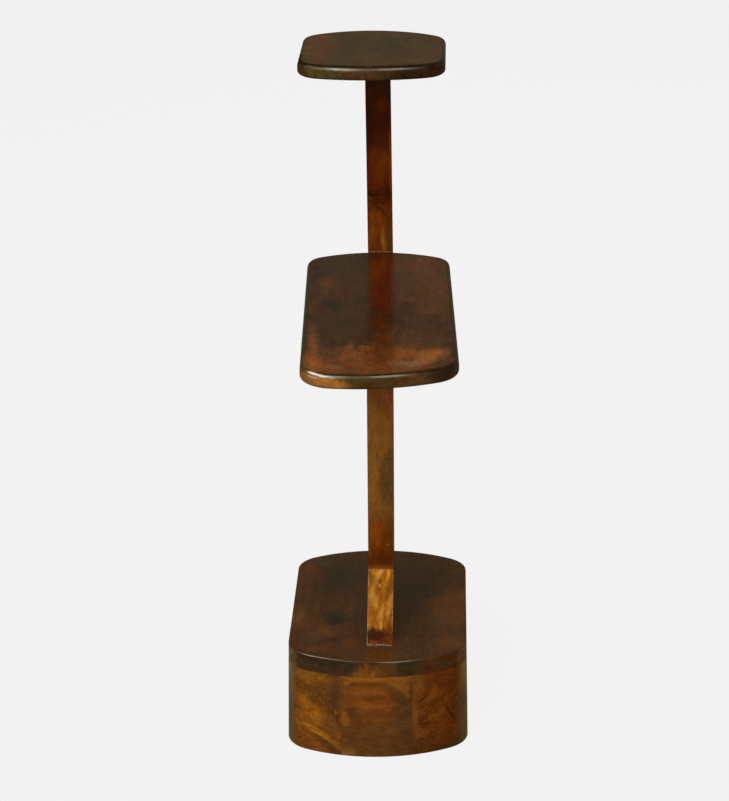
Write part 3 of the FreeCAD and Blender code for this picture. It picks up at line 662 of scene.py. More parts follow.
def mat_top_shelf():
    M = Mat("top_shelf_wood")
    f = wood_fields(M, "y", 7.0, ring_mm=12.0, pith=(40.0, 520.0))
    A = make_albedo(L_TOPSHELF, SHEEN_TOP)
    E = make_albedo(L_TOPEDGE, (0.002, 0.002, 0.002))
    v = M.mt("ADD", M.mt("MULTIPLY", f["mott"], 0.9), M.mt("MULTIPLY", f["fib"], 0.2))
    col = M.ramp(M.rng(v, 0.40, 0.82, smooth=False), [(0.0, A(68, 57, 41)), (0.5, A(74, 60, 43)), (1.0, A(82, 64, 45))])
    uv = M.warp(pair(M, M.x, M.y), (7.0, 12.0, 0.0), 0.05, 3.0, off=6.0)
    fe = M.mt("SUBTRACT", M.noise(M.vm("MULTIPLY", M.P, (1.0, 0.25, 1.0)), 0.16, 2.0, 0.5, off=22.0), 0.5)
    col = M.paint(col, uv, [
        (-72, 290, 14, 50, 0, 0.8, 0.5, 0.70, (90, 62, 44)),
        (-66, 250, 14, 40, 0, 0.9, 0.5, 0.55, (90, 62, 44)),
        (-62, 238, 7, 30, 4, 0.9, 1.0, 0.55, (90, 62, 44)),
        (-76, 270, 8, 40, 2, 0.9, 1.0, 0.45, (88, 61, 43)),
        (22, 214, 12, 12, 0, 0.9, 1.0, 0.45, (84, 58, 42)),
        (46, 250, 16, 30, 0, 0.9, 1.0, 0.40, (80, 60, 44)),
        (-52, 290, 6, 24, 0, 0.9, 0.9, 0.4, (88, 62, 44)),
        (28, 204, 26, 14, 0, 0.6, 0.9, 0.5, (82, 60, 43)),
        (5, 260, 18, 44, 0, 0.6, 0.9, 0.5, (66, 56, 41)),
        (-30, 210, 16, 12, 0, 0.6, 0.9, 0.4, (80, 58, 42)),
    ], A, feather=fe)
    ev = M.mt("ADD", M.mt("MULTIPLY", f["mott"], 0.8), M.mt("MULTIPLY", f["fib"], 0.3))
    edge = M.ramp(M.rng(ev, 0.35, 0.85, smooth=False), [(0.0, E(44, 28, 13)), (0.5, E(60, 40, 20)), (1.0, E(82, 54, 26))])
    uve = M.warp(pair(M, M.x, M.z), (6.0, 2.6, 0.0), 0.09, 3.0, off=19.0)
    front = M.rng(M.y, 235.0, 210.0)
    edge = M.paint(edge, uve, [
        # painted reflection: the next paler olive patch is the light at the left mirrored across the face
        (-62, 601, 20, 8, 0, 0.6, 0.8, 0.85, (78, 60, 32)),
        (-26, 600, 14, 8, 0, 0.6, 0.8, 0.7, (82, 50, 24)),
        (-5, 601, 14, 8, 0, 0.5, 0.8, 0.5, (74, 50, 27)),
        (40, 602, 34, 10, 0, 0.4, 0.8, 0.85, (44, 27, 13)),
        (52, 600, 8, 3, 0, 0.6, 0.8, 0.6, (70, 34, 13)),
    ], E, gate=front)
    zt = M.rng(M.mt("ADD", M.z, M.mt("MULTIPLY", f["fib"], 0.5)), 609.2, 610.1)
    col = M.mix(zt, edge, col)
    # painted shade: a dark line painted along the upper rounded edge, where the lacquer mirrors the dark space overhead
    painted_dark_rim = M.mt("MULTIPLY", M.rng(M.z, 606.6, 608.2), M.rng(M.z, 610.02, 609.65))
    col = M.mix(M.mt("MULTIPLY", painted_dark_rim, 0.72), col, E(26, 20, 13))
    col = tone(M, col, f, swirl=0.85, cloud=0.75, hue=0.45, pore=0.06, fine=0.35)
    sc = M.noise(M.vm("MULTIPLY", M.P, (1.0, 1.0, 0.6)), 0.13, 5.0, 0.72, off=94)
    sc = M.mt("MULTIPLY", M.rng(sc, 0.60, 0.70), M.mt("MULTIPLY", M.rng(M.z, 605.0, 607.0), M.rng(M.z, 609.95, 609.2)))
    col = M.mix(M.mt("MULTIPLY", sc, 0.35), col, E(104, 70, 36))
    # the lacquer is rubbed dull at the left front corner
    dull = M.mt("MULTIPLY", M.rng(M.x, -42.0, -58.0, 0.0, 0.80), M.rng(M.y, 240.0, 228.0))
    dull = M.mt("ADD", dull, M.mt("MULTIPLY", M.rng(M.x, -56.0, -74.0, 0.0, 0.14), M.rng(M.y, 246.0, 232.0)))
    dull = M.mt("MULTIPLY", dull, M.rng(M.z, 609.98, 609.6))
    coat = M.mt("SUBTRACT", 1.0, dull)
    lacquer(M, col, f, coat_rough=0.23, wave=0.03, pore_depth=0.012, coat=coat)
    return M.m


def mat_stave(name, seed, tones, feats, grain="x", extra=None, light=L_STAVE, ring_mm=8.0, pith=(0.0, -60.0), swirl=0.6):
    M = Mat(name)
    f = wood_fields(M, grain, seed, ring_mm=ring_mm, pith=pith)
    E = make_albedo(light, (0.002, 0.002, 0.001))
    v = M.mt("ADD", M.mt("MULTIPLY", f["mott"], 0.7), M.mt("MULTIPLY", f["fib"], 0.25))
    v = M.mt("ADD", v, M.mt("MULTIPLY", f["ring"], 0.10))
    v = M.mt("ADD", v, M.mt("MULTIPLY", f["curl"], 0.12))
    col = M.ramp(M.rng(v, 0.36, 0.84, smooth=False), [(i / (len(tones) - 1.0), E(*t)) for i, t in enumerate(tones)])
    if feats:
        uv = M.warp(pair(M, M.x, M.z), (4.0, 3.5, 0.0), 0.10, 3.0, off=seed + 8)
        st = (0.3, 1.0, 1.0) if grain == "x" else (1.0, 1.0, 0.3)
        fe = M.mt("SUBTRACT", M.noise(M.vm("MULTIPLY", M.P, st), 0.35, 3.0, 0.6, off=seed + 9), 0.5)
        front = M.rng(M.y, -20.0, -60.0)
        col = M.paint(col, uv, feats, E, feather=fe, gate=front)
    if extra:
        col = extra(M, col, f, E)
    col = tone(M, col, f, swirl=swirl, cloud=0.45, hue=0.14, pore=0.25, fine=0.33)
    # painted reflection: where the ends roll into the sides they are painted paler and greener, for the lacquer's
    # grazing reflection of the bright surroundings
    ax = M.mt("ABSOLUTE", M.x)
    rn = M.noise(M.vm("MULTIPLY", M.P, (1.0, 1.0, 0.25)), 0.16, 3.0, off=seed + 30)
    rim_sheen_mask = M.mt("MULTIPLY", M.rng(ax, 79.0, 86.5, smooth=False), M.rng(rn, 0.30, 0.62, 0.55, 1.0))
    rim_sheen_mask = M.mt("MULTIPLY", rim_sheen_mask, M.rng(M.mt("ABSOLUTE", M.y), 68.0, 98.0))
    rim_sheen_colour = M.ramp(M.rng(M.x, -20.0, 20.0), [(0.0, (0.24, 0.17, 0.052)), (1.0, (0.26, 0.155, 0.040))])
    rim_sheen_colour = M.mix(M.rng(M.z, 42.0, 84.0), rim_sheen_colour, M.ramp(M.rng(M.x, -20.0, 20.0), [(0.0, (0.52, 0.36, 0.10)), (1.0, (0.64, 0.40, 0.075))]))
    col = M.mix(M.mt("MULTIPLY", rim_sheen_mask, 0.95), col, rim_sheen_colour)
    # worn at the foot and along the joints
    col, _ = worn(M, col, E(132, 92, 48), 0.8, 0.45, seed + 60.0)
    lacquer(M, col, f, coat_rough=0.14, wave=0.03)
    return M.m


def extra_left(M, col, f, E):
    # dark growth lines low on the board, and golden curls higher up
    q = M.mt("ADD", M.mt("MULTIPLY", M.z, 1.1), M.mt("MULTIPLY", M.x, 0.30))
    q = M.mt("ADD", q, M.mt("MULTIPLY", M.noise(M.P, 0.07, 3.0, off=31), 14.0))
    w = M.mt("MULTIPLY_ADD", M.mt("SINE", M.mt("MULTIPLY", q, 1.1)), 0.5, 0.5)
    w = M.mt("MULTIPLY", M.rng(w, 0.66, 1.0), f["cloud"])
    front = M.rng(M.y, -20.0, -60.0)
    w = M.mt("MULTIPLY", M.mt("MULTIPLY", w, M.rng(M.z, 50.0, 28.0)), front)
    col = M.mix(w, col, E(84, 48, 16))
    c = M.noise(M.warp(M.P, 10.0, 0.06, 2.0, off=37), 0.26, 3.0, 0.6, dist=1.8, off=38)
    c = M.mt("MULTIPLY", M.rng(c, 0.54, 0.66), M.mt("MULTIPLY", front, M.rng(M.x, -40.0, -52.0)))
    col = M.mix(M.mt("MULTIPLY", c, 0.45), col, E(160, 104, 32))
    c = M.noise(M.warp(M.P, 10.0, 0.06, 2.0, off=37), 0.22, 3.0, 0.6, dist=1.8, off=39)
    c = M.mt("MULTIPLY", M.rng(c, 0.56, 0.66), front)
    return M.mix(M.mt("MULTIPLY", c, 0.45), col, E(84, 50, 16))


def extra_centre(M, col, f, E):
    # long level growth lines, and a round boss of inner rings above
    front = M.rng(M.y, -20.0, -60.0)
    uv = M.warp(pair(M, M.x, M.z), (7.0, 5.0, 0.0), 0.08, 3.0, off=33)
    n = M.nt.nodes.new("ShaderNodeMapping")
    n.vector_type = "TEXTURE"
    M.put(n.inputs["Vector"], uv)
    n.inputs["Location"].default_value = (-6, 50, 0)
    n.inputs["Scale"].default_value = (31, 27, 1)
    d = M.vm("LENGTH", n.outputs[0])
    rim = M.mt("MULTIPLY", M.rng(d, 0.84, 0.98), M.rng(d, 1.14, 1.0))
    rim = M.mt("MULTIPLY", rim, M.rng(M.x, -34.0, 6.0, 0.30, 0.85))
    rim = M.mt("MULTIPLY", rim, M.rng(M.z, 34.0, 56.0))
    rim = M.mt("MULTIPLY", rim, M.rng(f["cloud"], 0.30, 0.60, 0.35, 1.0))
    col = M.mix(M.mt("MULTIPLY", M.mt("MULTIPLY", rim, front), 0.36), col, E(72, 46, 19))
    # nested arcs inside the boss
    arcs = M.mt("MULTIPLY_ADD", M.mt("SINE", M.mt("MULTIPLY", d, 31.0)), 0.5, 0.5)
    arcs = M.mt("MULTIPLY", M.rng(arcs, 0.62, 1.0), M.mt("MULTIPLY", M.rng(d, 0.98, 0.90), M.rng(M.z, 46.0, 64.0)))
    arcs = M.mt("MULTIPLY", arcs, M.rng(f["swirl"], 0.42, 0.60))
    col = M.mix(M.mt("MULTIPLY", M.mt("MULTIPLY", arcs, front), 0.40), col, E(80, 48, 18))
    rim2 = M.mt("MULTIPLY", M.rng(d, 1.12, 1.22), M.rng(d, 1.42, 1.26))
    rim2 = M.mt("MULTIPLY", rim2, M.rng(M.z, 50.0, 66.0))
    rim2 = M.mt("MULTIPLY", rim2, M.rng(f["swirl"], 0.40, 0.60, 0.3, 1.0))
    col = M.mix(M.mt("MULTIPLY", M.mt("MULTIPLY", rim2, front), 0.55), col, E(128, 80, 27))
    q = M.mt("ADD", M.z, M.mt("MULTIPLY", M.noise(M.vm("MULTIPLY", M.P, (0.4, 1.0, 1.0)), 0.06, 3.0, off=34), 12.0))
    q = M.mt("ADD", q, M.mt("MULTIPLY", M.mt("MULTIPLY", M.x, M.x), -0.0016))
    w = M.mt("MULTIPLY_ADD", M.mt("SINE", M.mt("MULTIPLY", q, 1.35)), 0.5, 0.5)
    w = M.mt("MULTIPLY", M.rng(w, 0.55, 1.0), M.rng(f["cloud"], 0.38, 0.66))
    w = M.mt("MULTIPLY", w, M.rng(M.noise(M.vm("MULTIPLY", M.P, (0.5, 1.0, 1.0)), 0.16, 3.0, 0.6, off=35), 0.38, 0.60))
    return M.mix(M.mt("MULTIPLY", M.mt("MULTIPLY", w, front), 0.42), col, E(62, 40, 17))


def extra_right(M, col, f, E):
    # a small field of rippled figure, and a few free curls
    front = M.rng(M.y, -20.0, -60.0)
    uv = M.warp(pair(M, M.x, M.z), (3.0, 3.0, 0.0), 0.09, 2.0, off=36)
    n = M.nt.nodes.new("ShaderNodeMapping")
    n.vector_type = "TEXTURE"
    M.put(n.inputs["Vector"], uv)
    n.inputs["Location"].default_value = (60, 38, 0)
    n.inputs["Scale"].default_value = (1.15, 1.0, 1)
    d = M.vm("LENGTH", n.outputs[0])
    w = M.mt("MULTIPLY_ADD", M.mt("SINE", M.mt("MULTIPLY", d, 1.75)), 0.5, 0.5)
    zone = M.mt("MULTIPLY", M.spot(uv, 50, 50, 12, 15, 0, 0.8), M.mt("MULTIPLY", front, M.rng(f["cloud"], 0.35, 0.6, 0.25, 1.0)))
    col = M.mix(M.mt("MULTIPLY", M.rng(w, 0.55, 0.95), M.mt("MULTIPLY", zone, 0.40)), col, E(118, 68, 20))
    col = M.mix(M.mt("MULTIPLY", M.rng(w, 0.40, 0.05), M.mt("MULTIPLY", zone, 0.42)), col, E(52, 27, 8))
    c = M.noise(M.warp(M.P, 9.0, 0.07, 2.0, off=47), 0.24, 4.0, 0.62, dist=2.0, off=48)
    col = M.mix(M.mt("MULTIPLY", M.mt("MULTIPLY", M.rng(c, 0.54, 0.68), front), 0.45), col, E(120, 70, 20))
    return M.mix(M.mt("MULTIPLY", M.mt("MULTIPLY", M.rng(c, 0.46, 0.32), front), 0.50), col, E(52, 26, 8))


def mat_post(name, seed, tones, feats, light, shade_lift_ramp=None, swirl=0.6, axis="z", streak=1.0, shift=0.0, y0=-40.8):
    M = Mat(name)
    X = M.mt("ADD", M.x, shift) if shift else M.x
    f = wood_fields(M, axis, seed, ring_mm=11.0, pith=(60.0, -120.0), warp=0.7)
    E = make_albedo(light, (0.002, 0.002, 0.001))
    v = M.mt("ADD", M.mt("MULTIPLY", f["mott"], 0.75), M.mt("MULTIPLY", f["fib"], 0.25))
    v = M.mt("ADD", v, M.mt("MULTIPLY", f["ring"], 0.08))
    col = M.ramp(M.rng(v, 0.34, 0.80, smooth=False), [(i / (len(tones) - 1.0), E(*t)) for i, t in enumerate(tones)])
    if feats:
        back = M.mt("SUBTRACT", M.y, y0)
        X = M.mt("ADD", X, M.mt("MULTIPLY", back, 0.35))
        Z = M.mt("ADD", M.z, M.mt("MULTIPLY", back, -1.4))
        uv = M.warp(pair(M, X, Z), (2.4, 4.0, 0.0), 0.08, 3.0, off=seed + 8)
        fe = M.mt("SUBTRACT", M.noise(M.vm("MULTIPLY", M.P, (1.0, 1.0, 0.3)), 0.38, 3.0, 0.6, off=seed + 9), 0.5)
        col = M.paint(col, uv, feats, E, feather=fe)
        # slanting streaks, light and dark
        q = M.vm("MULTIPLY", M.warp(pair(M, M.mt("SUBTRACT", M.x, M.mt("MULTIPLY", M.z, 0.22)), M.z), (5.0, 8.0, 0.0), 0.06, 2.0, off=seed + 10), (1.0, 0.30, 1.0))
        c = M.noise(q, 0.30, 4.0, 0.62, dist=0.8, off=seed + 11)
        col = M.mix(streak, col, M.mix(1.0, col, M.ramp(c, [(0.32, (0.62, 0.58, 0.52)), (0.5, (1.0, 1.0, 1.0)), (0.68, (1.34, 1.30, 1.22))]), "MULTIPLY"))
    # painted light: the colour is lifted towards the top of the post, to offset the shade cast by the shelf above
    if shade_lift_ramp:
        g = M.ramp(M.rng(M.z, shade_lift_ramp[0], shade_lift_ramp[1], smooth=False), [(p, (k, k, k)) for p, k in shade_lift_ramp[2]])
        col = M.mix(1.0, col, g, "MULTIPLY")
    col = tone(M, col, f, swirl=swirl, cloud=0.35, hue=0.12, pore=0.15, fine=0.22)
    col, _ = worn(M, col, E(128, 84, 40), 1.1, 0.40, seed + 60.0, lo=0.54, hi=0.68)
    lacquer(M, col, f, coat_rough=0.10, wave=0.015, pore_depth=0.015)
    return M.m


def mat_brace():
    M = Mat("brace_wood")
    E = make_albedo(L_BRACE, (0.003, 0.003, 0.002))
    s_ = M.mt("MULTIPLY", M.mt("SUBTRACT", M.z, 102.1), 1.41421)
    f = wood_fields(M, "z", 30.0, ring_mm=6.0, pith=(40.0, -200.0))
    # flame figure: steep wavy tongues that lean to the right
    xs = M.mt("SUBTRACT", M.x, M.mt("MULTIPLY", s_, 0.14))
    q = M.warp(pair(M, xs, s_), (5.0, 9.0, 0.0), 0.075, 2.0, off=51)
    fl = M.noise(M.vm("MULTIPLY", q, (1.0, 0.22, 1.0)), 0.20, 3.0, 0.55, dist=0.5, off=52)
    fl2 = M.noise(M.vm("MULTIPLY", q, (1.0, 0.30, 1.0)), 0.55, 3.0, 0.6, dist=0.9, off=53)
    fl3 = M.noise(M.vm("MULTIPLY", M.warp(q, 2.0, 0.4, 2.0, off=56), (1.0, 0.42, 1.0)), 1.0, 2.0, 0.55, dist=0.6, off=57)
    v = M.mt("ADD", M.mt("MULTIPLY", fl, 0.46), M.mt("MULTIPLY", fl2, 0.36))
    v = M.mt("ADD", v, M.mt("MULTIPLY", fl3, 0.22))
    col = M.ramp(M.rng(v, 0.40, 0.66, smooth=False), [(0.0, E(108, 56, 9)), (0.28, E(142, 79, 13)), (0.55, E(165, 98, 18)), (0.8, E(188, 122, 32)), (1.0, E(210, 150, 60))])
    uv = M.warp(pair(M, M.x, s_), (3.0, 3.5, 0.0), 0.15, 3.0, off=54)
    fe = M.mt("SUBTRACT", M.noise(M.vm("MULTIPLY", M.P, (1.0, 1.0, 0.5)), 0.5, 3.0, 0.6, off=55), 0.5)
    col = M.paint(col, uv, [
        (2, 73, 2.2, 8, -24, 0.6, 0.8, 0.65, (204, 152, 72)),
        (-5, 58, 1.8, 12, -10, 0.6, 0.8, 0.50, (196, 140, 60)),
        (-7, 68, 4, 6, 20, 0.6, 0.8, 0.55, (124, 74, 22)),
        (12, 62, 3.0, 14, -16, 0.6, 0.9, 0.75, (108, 66, 28)),
        (9, 50, 2.0, 8, -20, 0.6, 0.8, 0.55, (118, 70, 24)),
        (13.5, 36, 2.0, 14, 0, 0.6, 0.8, 0.50, (120, 72, 22)),
        (-4, 45, 4, 9, 10, 0.6, 0.8, 0.55, (200, 142, 56)),
        (3, 31, 2.2, 9, -14, 0.8, 1.0, 0.45, (200, 146, 62)),
        (11, 38, 2.2, 12, -8, 0.6, 0.8, 0.50, (196, 142, 60)),
        (-6, 36, 2.0, 8, 8, 0.6, 0.8, 0.55, (140, 82, 20)),
        (-7, 24, 3.5, 7, 0, 0.6, 0.8, 0.45, (150, 88, 22)),
        (8, 22, 2.0, 7, -16, 0.6, 0.8, 0.50, (140, 84, 24)),
        (-1.0, 62, 1.0, 1.0, 0, 0.7, 0.4, 0.50, (186, 160, 96)),
        (2.0, 60, 0.8, 1.5, 10, 0.7, 0.4, 0.70, (210, 184, 122)),
        (2, 6.4, 17, 8.4, -6, 0.34, 1.9, 0.97, (70, 28, 4)),
        (-7, 10, 6, 7, 0, 0.6, 1.0, 0.80, (50, 26, 10)),
        (12, 14, 4, 8, 0, 0.6, 0.9, 0.75, (86, 48, 14)),
        (1, 8, 5, 3, 0, 0.5, 0.6, 0.6, (50, 24, 8)),
        (9, 5.0, 5, 2.4, 6, 0.8, 1.0, 0.60, (118, 50, 10)),
        # painted highlight: the next two thin pale lines run along the right edge of the sloping face
        (15.2, 34, 0.7, 14, 0, 0.9, 1.2, 0.70, (214, 168, 92)),
        (15.2, 66, 0.6, 10, 0, 0.9, 1.2, 0.55, (206, 160, 88)),
        (-4, 2.4, 5, 1.4, 0, 0.5, 0.7, 0.75, (120, 54, 14)),
        (-9, 4, 2, 3, 0, 0.5, 0.6, 0.7, (40, 28, 16)),
    ], E, feather=fe)
    col = tone(M, col, f, swirl=0.25, cloud=0.25, hue=0.06, pore=0.1, fine=0.25)
    col, _ = worn(M, col, E(206, 164, 96), 0.9, 0.50, 96.0)
    lacquer(M, col, f, coat_rough=0.12, wave=0.015)
    return M.m


def mat_bare(name, base, dark, axis="y", seed=60.0):
    """Sanded wood without lacquer."""
    M = Mat(name)
    f = wood_fields(M, axis, seed, ring_mm=7.0, pith=(30.0, -90.0))
    v = M.mt("ADD", M.mt("MULTIPLY", f["ring"], 0.35), M.mt("MULTIPLY", f["fib"], 0.65))
    col = M.ramp(M.rng(v, 0.25, 0.80, smooth=False), [(0.0, dark), (1.0, base)])
    col = M.mix(M.mt("MULTIPLY", f["pore"], 0.5), col, M.mix(1.0, col, (0.5, 0.42, 0.35), "MULTIPLY"))
    col, _ = worn(M, col, tuple(0.6 * v for v in dark), 1.0, 0.5, seed + 30.0, lo=0.42, hi=0.60)
    M.put(M.b.inputs["Base Color"], col)
    M.put(M.b.inputs["Roughness"], M.mt("MULTIPLY_ADD", f["fib"], 0.2, 0.6))
    M.b.inputs["Specular IOR Level"].default_value = 0.3
    M.put(M.b.inputs["Normal"], M.bump(M.mt("SUBTRACT", f["fine"], f["pore"]), 0.08))
    return M.m


def mat_steel():
    M = Mat("zinc_screw_steel")
    n = M.noise(M.P, 0.9, 3.0, 0.6, off=70)
    n2 = M.noise(M.P, 5.0, 2.0, 0.5, off=71)
    col = M.ramp(n, [(0.3, (0.42, 0.42, 0.41)), (0.7, (0.62, 0.61, 0.58))])
    col, _ = worn(M, col, (0.30, 0.27, 0.22), 0.3, 0.7, 97.0, lo=0.40, hi=0.60)
    M.put(M.b.inputs["Base Color"], col)
    M.b.inputs["Metallic"].default_value = 1.0
    M.put(M.b.inputs["Roughness"], M.mt("MULTIPLY_ADD", n, 0.3, 0.22))
    M.put(M.b.inputs["Normal"], M.bump(n2, 0.03))
    return M.m


def mat_glue(name, dark, mid, pale):
    M = Mat(name)
    n = M.noise(M.P, 0.8, 3.0, 0.65, off=80)
    n2 = M.noise(M.P, 2.4, 3.0, 0.6, off=81)
    col = M.ramp(n, [(0.34, dark), (0.48, mid), (0.62, pale)])
    M.put(M.b.inputs["Base Color"], col)
    M.put(M.b.inputs["Roughness"], M.mt("MULTIPLY_ADD", n2, 0.3, 0.3))
    M.b.inputs["Specular IOR Level"].default_value = 0.25
    M.put(M.b.inputs["Normal"], M.bump(n2, 0.35))
    return M.m


# =====================================================================
# the pieces
# =====================================================================
BASE = dict(a=86.7, s=105.2, R=(142.1, 138.9), r=(34.8, 33.7), skew=(-3.4, -1.0))
BASE_H, Z_LID, FLARE = 100.6, 84.0, 1.0186


def base_k(z):
    return FLARE + (1.0 - FLARE) * z / BASE_H


def base_ring(z, inset=0.0):
    return plan(scale=base_k(z), inset=inset, **BASE)


def build_lid():
    bm = bmesh.new()
    prof = [(0.9, Z_LID), (0.30, Z_LID + 0.02), (0.08, Z_LID + 0.12), (0.0, Z_LID + 0.35)]
    for k in range(1, 5):
        prof.append((0.0, Z_LID + 0.35 + (BASE_H - 4.0 - Z_LID - 0.35) * k / 4.0))
    rings = [add_ring(bm, base_ring(z, i), z) for i, z in prof]
    # the upper edge is rounded by hand: by 1 mm, and by more in front on the right
    flat = base_ring(BASE_H)

    def grown(p):
        if p[1] > -60.0:
            return 1.0
        u = min(max((p[0] + 16.0) / 34.0, 0.0), 1.0)
        d = min(max((70.0 - p[0]) / 22.0, 0.0), 1.0)
        u, d = u * u * (3 - 2 * u), d * d * (3 - 2 * d)
        f_ = min(max((p[0] + 76.0) / 10.0, 0.0), 1.0)
        g_ = min(max((p[0] + 60.0) / 14.0, 0.0), 1.0)
        return 0.15 + 0.75 * f_ * f_ * (3 - 2 * f_) - 0.38 * g_ * g_ * (3 - 2 * g_) + 2.1 * u * d
    size = [grown(p) for p in flat]
    loops = []
    for k in range(0, 9):
        t = math.pi / 2 * k / 8
        ring = []
        base = [base_ring(BASE_H, 0.0), base_ring(BASE_H, 3.0)]
        for (x0_, y0_), (x1_, y1_), r_ in zip(base[0], base[1], size):
            i_ = r_ * (1.0 - math.cos(t)) / 3.0
            z_ = BASE_H - r_ + r_ * math.sin(t)
            g_ = base_k(z_) / base_k(BASE_H)
            ring.append(bm.verts.new(((x0_ + (x1_ - x0_) * i_) * g_, (y0_ + (y1_ - y0_) * i_) * g_, z_)))
        loops.append(ring)
    loops.append(add_ring(bm, base_ring(BASE_H, 3.2), BASE_H))
    rings += loops
    for a, b in zip(rings, rings[1:]):
        bridge(bm, a, b)
    cap(bm, rings[-1], 18)
    cap(bm, rings[0], 18)
    return finish_mesh(bm, "lid_board")


def build_shelf(name, a, s, R, r, skew, t, top, x, y, turn):
    bm = bmesh.new()
    rt, rb = 5.2, 4.4
    drop = 6.8          # the upper edge is rounded a little further down than in
    prof = []
    n = 12
    for k in range(n + 1):      # underside edge
        g = math.pi / 2 * k / n
        prof.append((rb - rb * math.sin(g), rb - rb * math.cos(g)))
    for k in range(1, 4):
        prof.append((0.0, rb + (t - rb - drop) * k / 4.0))
    for k in range(n + 1):      # upper edge
        g = math.pi / 2 * k / n
        prof.append((rt - rt * math.cos(g), t - drop + drop * math.sin(g)))
    prof.append((rt + 1.2, t))
    prof.insert(0, (rb + 1.2, 0.0))
    rings = []
    for i, z in prof:
        rings.append(add_ring(bm, plan(a, s, R, r, skew, inset=i + 0.03, n_side=40, n_corner=16, n_bow=30), z))
    for p, q in zip(rings, rings[1:]):
        bridge(bm, p, q)
    cap(bm, rings[-1], 20)
    cap(bm, rings[0], 20)
    M_ = Matrix.Translation((x, y, top - t)) @ Matrix.Rotation(math.radians(turn), 4, "Z")
    bmesh.ops.transform(bm, matrix=M_, verts=bm.verts)
    return finish_mesh(bm, name)


def clipped(ring, keep, cuts, n):
    """The run of a closed ring where keep(p) holds, with exact ends on the cut
    lines, resampled to n points. cuts: (axis, value)."""
    N = len(ring)
    inside = [keep(p) for p in ring]
    start = next(i for i in range(N) if inside[i] and not inside[i - 1])
    run = []
    i = start
    while inside[i % N]:
        run.append(ring[i % N])
        i += 1
    before, after = ring[(start - 1) % N], ring[i % N]

    def cross(p_in, p_out):
        best = None
        for ax, val in cuts:
            d = p_out[ax] - p_in[ax]
            if abs(d) > 1e-9:
                t = (val - p_in[ax]) / d
                if -1e-9 <= t <= 1 + 1e-9 and (best is None or t < best):
                    best = t
        return tuple(p_in[k] + (p_out[k] - p_in[k]) * best for k in range(2))
    run = [cross(run[0], before)] + run + [cross(run[-1], after)]
    acc = [0.0]
    for p, q in zip(run, run[1:]):
        acc.append(acc[-1] + math.dist(p, q))
    out = []
    j = 0
    for k in range(n):
        d = acc[-1] * k / (n - 1)
        while j < len(acc) - 2 and acc[j + 1] < d:
            j += 1
        seg = acc[j + 1] - acc[j]
        t = 0.0 if seg < 1e-12 else (d - acc[j]) / seg
        out.append(tuple(run[j][c] + (run[j + 1][c] - run[j][c]) * t for c in range(2)))
    return out


XL, XR, YF, YR = -34.5, 34.1, -76.0, 76.0
WALLS = {
    "front_stave_left": (lambda p: p[0] < XL and p[1] < YF, ((0, XL), (1, YF)), 46),
    "front_stave_centre": (lambda p: XL < p[0] < XR and p[1] < 0, ((0, XL), (0, XR)), 36),
    "front_stave_right": (lambda p: p[0] > XR and p[1] < YF, ((0, XR), (1, YF)), 46),
    "rear_stave_left": (lambda p: p[0] < XL and p[1] > YR, ((0, XL), (1, YR)), 46),
    "rear_stave_centre": (lambda p: XL < p[0] < XR and p[1] > 0, ((0, XL), (0, XR)), 36),
    "rear_stave_right": (lambda p: p[0] > XR and p[1] > YR, ((0, XR), (1, YR)), 46),
    "side_board_left": (lambda p: p[0] < 0 and YF < p[1] < YR, ((1, YF), (1, YR)), 14),
    "side_board_right": (lambda p: p[0] > 0 and YF < p[1] < YR, ((1, YF), (1, YR)), 14),
}


def build_wall(name):
    keep, cuts, n = WALLS[name]
    fine = dict(n_side=60, n_corner=30, n_bow=60)
    bm = bmesh.new()

    def run(z, inset, scale):
        return [bm.verts.new((x, y, z)) for x, y in clipped(plan(scale=scale, inset=inset, **BASE, **fine), keep, cuts, n)]
    levels = []
    for z, t in [(0.0, 12.0), (10.0, 12.0)] + [(10.0 + (Z_LID - 10.0) * k / 5.0, 20.0) for k in range(1, 6)]:
        levels.append((run(z, 0.0, base_k(z)), run(z, t, 1.0)))
    ledge = run(10.0, 20.0, 1.0)
    for q in range(len(levels) - 1):
        (o0, i0), (o1, i1) = levels[q], levels[q + 1]
        if q == 1:
            for k in range(n - 1):
                bm.faces.new((i0[k], i0[k + 1], ledge[k + 1], ledge[k]))
            bm.faces.new((o0[0], i0[0], ledge[0]))
            bm.faces.new((o0[-1], i0[-1], ledge[-1]))
            i0 = ledge
        for k in range(n - 1):
            bm.faces.new((o0[k], o0[k + 1], o1[k + 1], o1[k]))
            bm.faces.new((i0[k + 1], i0[k], i1[k], i1[k + 1]))
        bm.faces.new((o0[0], o1[0], i1[0], i0[0]))
        bm.faces.new((o0[-1], i0[-1], i1[-1], o1[-1]))
    for o, i in (levels[0], levels[-1]):
        for k in range(n - 1):
            bm.faces.new((o[k], i[k], i[k + 1], o[k + 1]))
    bmesh.ops.recalc_face_normals(bm, faces=bm.faces)
    soft = []
    for e in bm.edges:
        a, b = e.verts
        for (o0, _), (o1, _) in zip(levels, levels[1:]):
            if {a, b} in ({o0[0], o1[0]}, {o0[-1], o1[-1]}):
                soft.append(e)
    foot = levels[0][0]
    foot_pairs = [{foot[k], foot[k + 1]} for k in range(n - 1)]
    soft += [e for e in bm.edges if set(e.verts) in foot_pairs]
    bmesh.ops.bevel(bm, geom=soft, offset=0.35, segments=2, profile=0.5, affect="EDGES", clamp_overlap=True)
    return finish_mesh(bm, name + "_board", sharp=40.0, weighted=True)


def build_post_low():
    bm = box_bm(-10.0, 14.8, -40.8, 5.2, 100.6, 348.4, 24)
    ob = finish_mesh(bm, "lower_post_bar", weighted=False)
    bevel_object(ob, 0.9, 3)
    return ob


